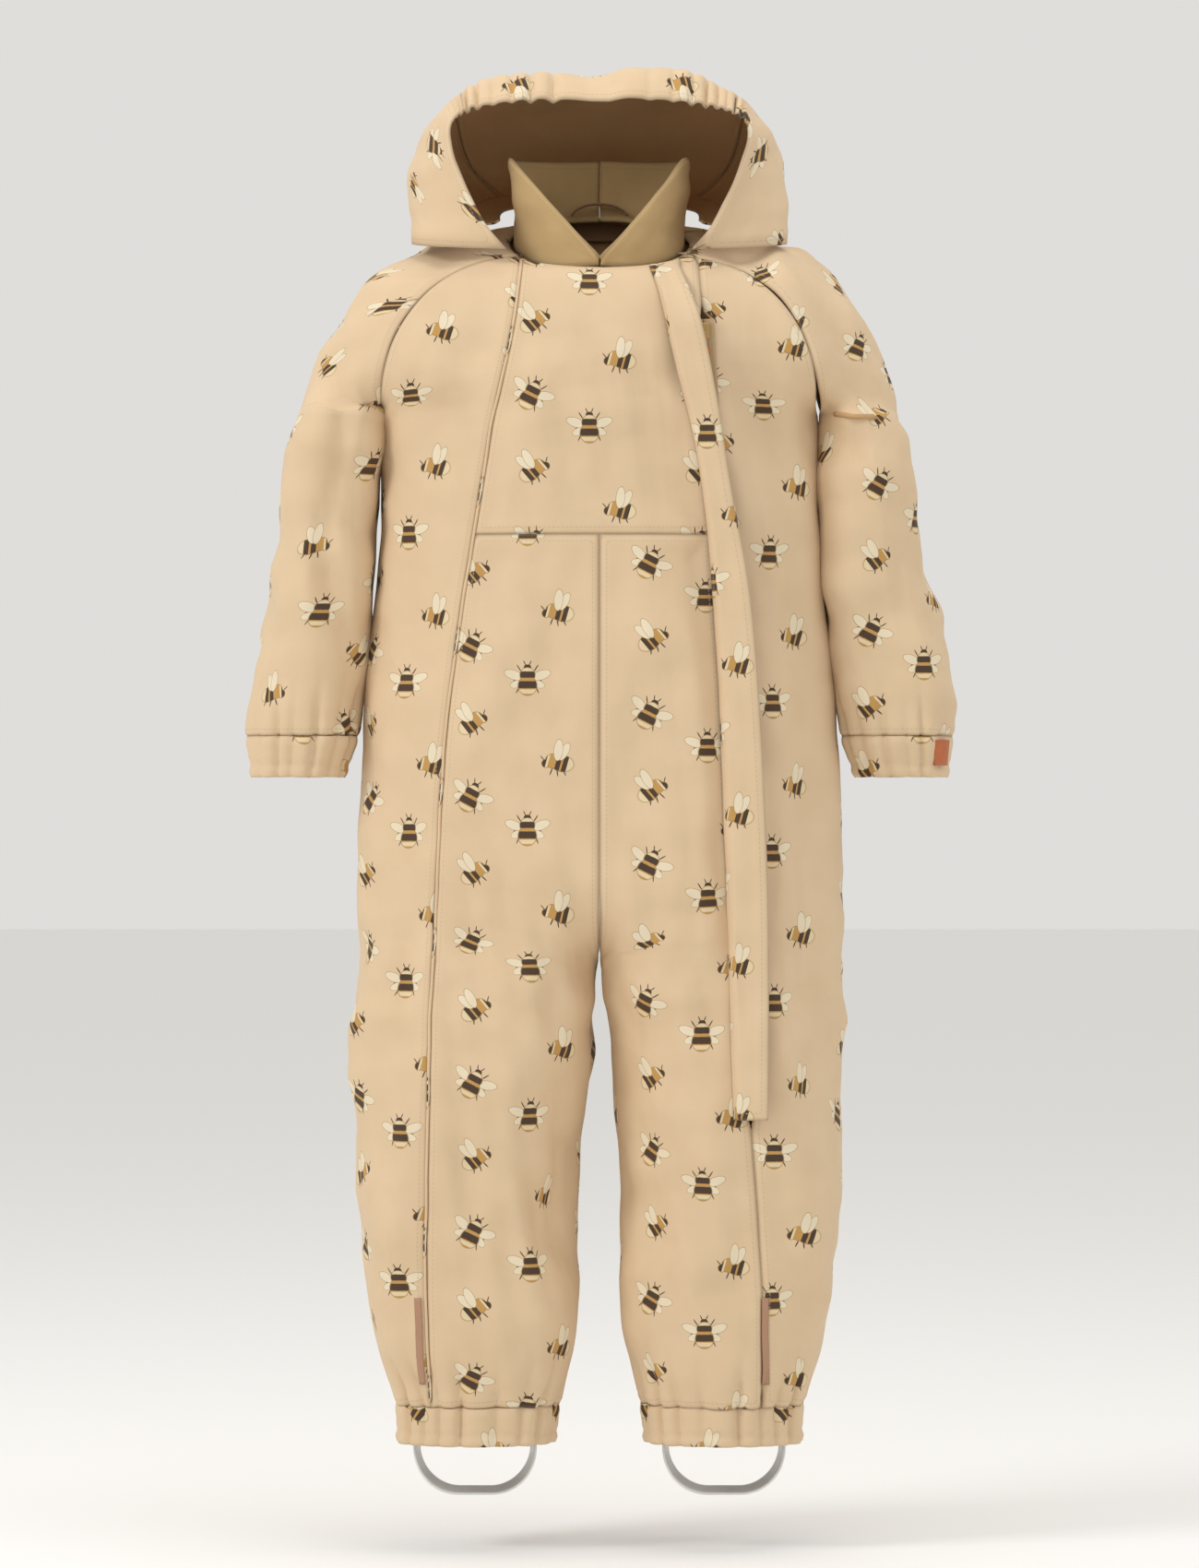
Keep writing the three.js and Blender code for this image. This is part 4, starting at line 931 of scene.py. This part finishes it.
class COVERALL_OT_hood(OnePiece, bpy.types.Operator):
    """Make the three hood panels with their gathered face edge, and the strip that joins them to the neck"""

    bl_idname = "coverall.hood"
    bl_label = "Hood"

    def make(self):
        inside = point_inside(0, 20, 0)
        parts = (("Hood side right", 0.0, 0.3, ["hood_side_right"]),
                 ("Hood side left", 0.7, 1.0, ["hood_side_left"]),
                 ("Hood centre", 0.3, 0.7, ["hood_centre", "hood_brim"]))
        for seed, (name, first, last, nodes) in enumerate(parts):
            columns = 140 if name == "Hood centre" else 80
            across, along = np.meshgrid(np.linspace(first, last, columns), np.linspace(0, 0.9, 84))
            points = hood(along, across)
            top = smooth(across, 0.2, 0.32) * smooth(1 - across, 0.2, 0.32)
            curl = np.clip(1 - along / 0.11, 0, 1) ** 1.4 * np.sin(across * math.pi) ** 2
            points = points - np.stack([0 * curl, 2 * curl, 22 * curl], -1)
            gathers = 2.6 * puffs(across, BRIM_GATHERS, 2.1) * top * np.exp(-((along - 0.02) / 0.12) ** 2)
            gathers = gathers - 1.6 * np.exp(-((along - 0.125) / 0.012) ** 2) * (0.3 + 0.7 * top)
            still = 0.8 * (1 - smooth(along, 0.42, 0.68))
            moved, near = cloth_grid(points, inside, still, seed=50, seams="lrt", gathers=gathers)
            piece = add_surface(name, moved, panel_uv(points, (25 * seed - 10, 40)), near, finish("print"),
                                inside, wall=wall_mm(), lining=finish("lining"))
            place_piece(piece, nodes, "hood")
        across, along = np.meshgrid(np.linspace(0, 1, 110), np.linspace(0.895, 1, 14))
        points = hood(along, across, -1.2)
        moved, near = cloth_grid(points, inside, 0.15, seed=50, seams="b")
        fold = add_surface("Hood neck strip", moved, panel_uv(points, (0, 0)), near, finish("print"), inside,
                           wall=wall_mm(), lining=finish("lining"))
        place_piece(fold, ["hood_neck_fold"],
                    bend=("torso", "hood", (0, .018, -.004), (0, .055, .008)))


class COVERALL_OT_neck(OnePiece, bpy.types.Operator):
    """Make the jersey collar halves, the facing inside the back of the neck and the hang loop"""

    bl_idname = "coverall.neck"
    bl_label = "Collar and neck"

    def make(self):
        inside = point_inside(0, 0, -10)
        for name, side in SIDES:
            turn, up = np.meshgrid(np.linspace(0.002, 0.9998, 90), np.linspace(-0.14, 1, 28))
            points = collar(side, turn, up)
            moved, near = cloth_grid(points, inside, 0.8, seed=70 + side, seams="tb", pinch=1.0)
            piece = add_surface(f"Collar {name}", moved, panel_uv(points, (0, 0)), near, finish("collar"),
                                inside, wall=3.0)
            place_piece(piece, [f"collar_{name}"], "torso")
        angle, level = np.meshgrid(np.radians(np.linspace(110, 250, 70)), np.linspace(0, 0.28, 16))
        points = np.stack(dome(angle, level, -4.6), -1)
        moved, near = cloth_grid(points, inside, 0.3, seams="b")
        facing = add_surface("Neck facing", moved, panel_uv(points, (0, 0)), near, finish("facing"), inside,
                             wall=1.0)
        place_piece(facing, ["neck_facing"], "torso")
        swing = np.linspace(0.04, 0.96, 48) * math.pi

        def arch(offset):
            return np.stack([-21.7 * np.cos(swing), 37 + offset + 0 * swing, 10.7 * np.sin(swing) - 10], -1)

        loop = strip("Hang loop", arch, 6.0, 1.4, finish("facing"), inside=point_inside(0, 37, -12))
        place_piece(loop, ["hang_loop"], "torso")


def behind(points):
    """A point 40 mm behind each point, for pieces that face the front."""
    return points + (0, 40, 0)


def zip_plane_y(z):
    """The zip lies in a plane that leans back a little towards its lower end."""
    return -79.9 + (z + 105) * 0.0047


class COVERALL_OT_flap(OnePiece, bpy.types.Operator):
    """Make the storm flap that covers the zip"""

    bl_idname = "coverall.flap"
    bl_label = "Storm flap"

    def make(self):
        levels = level_rows(0.06, z_level(-692))
        seam, edge = turn_at(flap_seam_x, levels), turn_at(flap_edge_x, levels)
        share = np.linspace(0, 1, 26)
        turn = seam[:, None] + (edge - seam)[:, None] * share
        x, y, z = np.moveaxis(trunk(turn, levels[:, None] + 0 * turn, 2.8), -1, 0)
        raised = smooth(share, -0.02, 0.2) * smooth(-z, -ZIP_TOP_Z - 42, -ZIP_TOP_Z + 8)
        y = y + (np.minimum(y, zip_plane_y(z) - 9.4) - y) * raised
        points = np.stack([x, y, z], -1)
        moved, near = cloth_grid(points, behind, 0.35, seed=90, pinch=0.9)
        flap = add_surface("Storm flap", moved, panel_uv(points, (80, -291)), near, finish("print"), behind,
                           wall=1.9, lining=finish("lining"))
        axis, across = np.array([0.058, -0.1241, -0.062]), np.array([0.997, 0.0, 0.0772])
        place_piece(flap, ["storm_flap", "flap_fold"],
                    bend=("torso", "flap", tuple(axis - 0.006 * across), tuple(axis + 0.004 * across)))


class COVERALL_OT_zip(OnePiece, bpy.types.Operator):
    """Make the zip: two tapes, two rows of teeth, bottom stop, slider, puller and leather fob"""

    bl_idname = "coverall.zip"
    bl_label = "Zip"

    def make(self):
        down = np.array([math.sin(ZIP_LEAN), -0.0047, -math.cos(ZIP_LEAN)])
        across = np.array([math.cos(ZIP_LEAN), 0, math.sin(ZIP_LEAN)])
        top = np.array([ZIP_TOP_X, zip_plane_y(ZIP_TOP_Z), ZIP_TOP_Z])
        along = np.linspace(0, ZIP_LENGTH, 120)[:, None]
        for name, side, width in (("right", -1, 4.0), ("left", 1, 8.0)):
            middle = side * (width + 0.35) / 2

            def tape_line(offset):
                return top + along * down + (middle + offset) * across + (0, -0.7, 0)

            tape = strip(f"Zip tape {name}", tape_line, width, 0.7, finish("tape"), inside=behind)
            place_piece(tape, [f"zip_tape_{name}"], "torso")
            places = np.arange(6 + (side > 0) * 1.3, ZIP_LENGTH - 6, 2.6)
            corner = box_corners((2.5, 1.5, 1.5))
            frame_of = np.stack([across, (0, 1, 0), down])
            tooth = corner @ frame_of + side * 1.45 * across + (0, -0.7 - 0.35 - 0.8, 0) + top
            co = (tooth[None] + places[:, None, None] * down).reshape(-1, 3) * MM + (0, BODY_Y, 0)
            box = np.array([(0, 2, 3, 1), (4, 5, 7, 6), (0, 1, 5, 4), (2, 6, 7, 3), (0, 4, 6, 2),
                            (1, 3, 7, 5)])
            faces = (box[None] + 8 * np.arange(len(places))[:, None, None]).reshape(-1, 4)
            mesh = bpy.data.meshes.new(f"Zip teeth {name}")
            mesh.from_pydata(co.tolist(), [], faces.tolist())
            mesh.materials.append(finish("teeth"))
            teeth = bpy.data.objects.new(f"Zip_teeth_{name}", mesh)
            bpy.context.scene.collection.objects.link(teeth)
            place_piece(teeth, [f"zip_teeth_{name}"], "torso")
        for node, slot, material, bevel in (("zip_bottom_stop", "zip_metal", "metal", 0.4),
                                            ("zip_slider", "zip_metal", "metal", 0.7),
                                            ("zip_puller", "zip_metal", "metal", 0.4),
                                            ("zip_pull_fob", "leather", "leather", 0.5)):
            low, high = (np.array(v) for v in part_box(node))
            size, centre = (high - low) / MM, (high + low) / 2 / MM - (0, BODY_Y / MM, 0)
            upright = node in ("zip_puller", "zip_pull_fob")
            if upright:
                row, column = (1, 0, 0), (0, 0, -1)
            else:
                row, column, size = across, down, size - (.8, 0, .6)
            piece = bevel_box(node.replace("_", " ").capitalize(), size, centre, row, column,
                              finish(material), bevel)
            body = {"zip_bottom_stop": "torso", "zip_slider": "slider"}.get(node, "pull")
            place_piece(piece, [node], body)


class COVERALL_OT_trim(OnePiece, bpy.types.Operator):
    """Make the piping cord and the two reflective strips"""

    bl_idname = "coverall.trim"
    bl_label = "Piping and strips"

    def make(self):
        levels = level_rows(0.03, z_level(-905))
        turn = -turn_at(piping_x, levels)
        flat = trunk(turn, levels)
        rise = crease_height(flat, trunk_strength(flat[:, 2]), 4, 0.0)
        rise = rise + ankle_gathers(turn, flat[:, 2])
        path = trunk(turn, levels, rise - 0.2)
        swing = np.linspace(0, 2 * math.pi, 11)[:-1]
        forward = np.gradient(path, axis=0)
        forward /= np.linalg.norm(forward, axis=-1, keepdims=True)
        out = path - tube_inside(path)
        out -= forward * np.sum(out * forward, -1, keepdims=True)
        out /= np.linalg.norm(out, axis=-1, keepdims=True)
        sideways = np.cross(forward, out)
        ring = out[:, None] * np.cos(swing)[None, :, None] + sideways[:, None] * np.sin(swing)[None, :, None]
        points = path[:, None] + 1.1 * ring
        uv = np.stack([np.broadcast_to(swing * 1.5, points.shape[:2]), points[..., 2]], -1) * MM
        cord = add_surface("Piping cord", points, uv, np.full(points.shape[:2], 9.0), finish("print"),
                           None, closed=True, wall=0)
        ends = [list(range(10))[::-1], list(range(len(points) * 10 - 10, len(points) * 10))]
        cord.data = closed_tube(cord.data, ends)
        place_piece(cord, ["piping_cord"], bend=knee("right", -1))
        for name, side in SIDES:
            rows = spread(z_level(-826), z_level(-892), 0.03)
            line, beside = (piping_x, 5) if side < 0 else (zip_x, 1.5)

            def middle(offset):
                turn = side * turn_at(lambda z: line(z) + beside + offset, rows)
                flat = trunk(turn, rows)
                rise = crease_height(flat, trunk_strength(flat[:, 2]), 4, 3.0)
                rise = rise + ankle_gathers(turn, flat[:, 2])
                return trunk(turn, rows, rise + 1.3)

            tape = strip(f"Reflective strip {name}", middle, 5.0, 0.7, finish("reflective"),
                         inside=tube_inside)
            place_piece(tape, [f"reflective_strip_{name}"], f"shin_{name}")


def closed_tube(mesh, ends):
    """The mesh with its two open ends filled, facing outwards."""
    work = bmesh.new()
    work.from_mesh(mesh)
    work.verts.ensure_lookup_table()
    for loop in ends:
        work.faces.new([work.verts[i] for i in loop])
    bmesh.ops.recalc_face_normals(work, faces=work.faces)
    work.to_mesh(mesh)
    work.free()
    return mesh


class COVERALL_OT_straps(OnePiece, bpy.types.Operator):
    """Make the plastic foot straps, and give the buttons that hold them inside the cuffs the strap finish"""

    bl_idname = "coverall.straps"
    bl_label = "Foot straps"

    def make(self):
        swing = np.linspace(0, math.pi / 2, 20)
        arc = np.stack([12 + 33 * np.cos(swing), -943 - 34 * np.sin(swing)], -1)
        half = np.concatenate([[[45, -924]], [[45, -932]], arc])
        path = np.concatenate([half, half[::-1] * (-1, 1)])
        for name, side in SIDES:
            ankle = side * (HIP - 29 + 34) / 2

            def band(offset):
                low = smooth(-path[:, 1], 930, 972)
                return np.stack([ankle + path[:, 0] * (1 - 0.005 * offset), offset * (1 - 0.1 * low),
                                 path[:, 1] + 0.3 * offset * low], -1)

            strap = strip(f"Foot strap {name}", band, 15.0, 1.9, finish("strap"),
                          inside=point_inside(ankle, 0, -940))
            place_piece(strap, [f"foot_strap_{name}"], f"strap_{name}")
            strap.modifiers.new("Edges", "BEVEL").width = 0.4 * MM
            for node in (f"strap_button_inner_{name}", f"strap_button_outer_{name}"):
                bpy.data.objects[node].data.materials.clear()
                bpy.data.objects[node].data.materials.append(finish("strap"))


class COVERALL_OT_stage(OnePiece, bpy.types.Operator):
    """Make the pale floor, the soft lights and the camera"""

    bl_idname = "coverall.stage"
    bl_label = "Stage"

    def make(self):
        scene = bpy.context.scene
        bpy.ops.mesh.primitive_plane_add(size=30, location=(0, 6, -1.02))
        floor = bpy.context.object
        floor.name = "Floor"
        paint, _, shader = new_material("Pale floor")
        shader.inputs["Base Color"].default_value = (0.92, 0.91, 0.89, 1)
        shader.inputs["Roughness"].default_value = 0.8
        floor.data.materials.append(paint)
        for name, place, power, size in (("Key", (-2.9, -2.0, 1.9), 62, 1.3),
                                         ("Fill", (2.8, -2.2, 0.1), 9, 2.0),
                                         ("Top", (0.4, -0.4, 2.4), 24, 1.6)):
            data = bpy.data.lights.new(name, "AREA")
            data.energy, data.size = power, size
            lamp = bpy.data.objects.new(name, data)
            scene.collection.objects.link(lamp)
            lamp.location = place
            aim = np.array([0, 0, -0.45]) - place
            lamp.rotation_euler = (math.acos(-aim[2] / np.linalg.norm(aim)), 0,
                                   math.atan2(aim[1], aim[0]) - math.pi / 2)
        world = bpy.data.worlds.new("Soft white")
        world.use_nodes = True
        world.node_tree.nodes["Background"].inputs[0].default_value = (1, 0.985, 0.96, 1)
        world.node_tree.nodes["Background"].inputs[1].default_value = 0.74
        scene.world = world
        scene.view_settings.view_transform = "Standard"
        data = bpy.data.cameras.new("Camera")
        data.lens, data.sensor_fit, data.sensor_height = 150, "VERTICAL", 36
        camera = bpy.data.objects.new("Camera", data)
        scene.collection.objects.link(camera)
        camera.location = (0, -4.98, -0.442)
        camera.rotation_euler = (math.radians(90), 0, 0)
        scene.camera = camera


OPERATORS = (COVERALL_OT_trunk, COVERALL_OT_leg_cuffs, COVERALL_OT_sleeves, COVERALL_OT_hood,
             COVERALL_OT_neck,
             COVERALL_OT_flap, COVERALL_OT_zip, COVERALL_OT_trim, COVERALL_OT_straps, COVERALL_OT_stage)


class COVERALL_PT_panel(bpy.types.Panel):
    """Sidebar panel with the sizes, the colours and a button for each operator"""

    bl_idname = "COVERALL_PT_panel"
    bl_label = "Coverall"
    bl_space_type = "VIEW_3D"
    bl_region_type = "UI"
    bl_category = "Coverall"

    def draw(self, context):
        for settings in (context.scene.coverall_sizes, context.scene.coverall_tones):
            for key in settings.__annotations__:
                self.layout.prop(settings, key)
        for operator in OPERATORS:
            self.layout.operator(operator.bl_idname)


CLASSES = (CoverallTones, CoverallSizes, *OPERATORS, COVERALL_PT_panel)


def register():
    for cls in CLASSES:
        bpy.utils.register_class(cls)
    bpy.types.Scene.coverall_tones = bpy.props.PointerProperty(type=CoverallTones)
    bpy.types.Scene.coverall_sizes = bpy.props.PointerProperty(type=CoverallSizes)


def unregister():
    del bpy.types.Scene.coverall_sizes
    del bpy.types.Scene.coverall_tones
    for cls in reversed(CLASSES):
        bpy.utils.unregister_class(cls)


def main():
    register()
    for operator in OPERATORS:
        getattr(bpy.ops.coverall, operator.bl_idname.split(".")[1])()


if __name__ == "__main__":
    main()
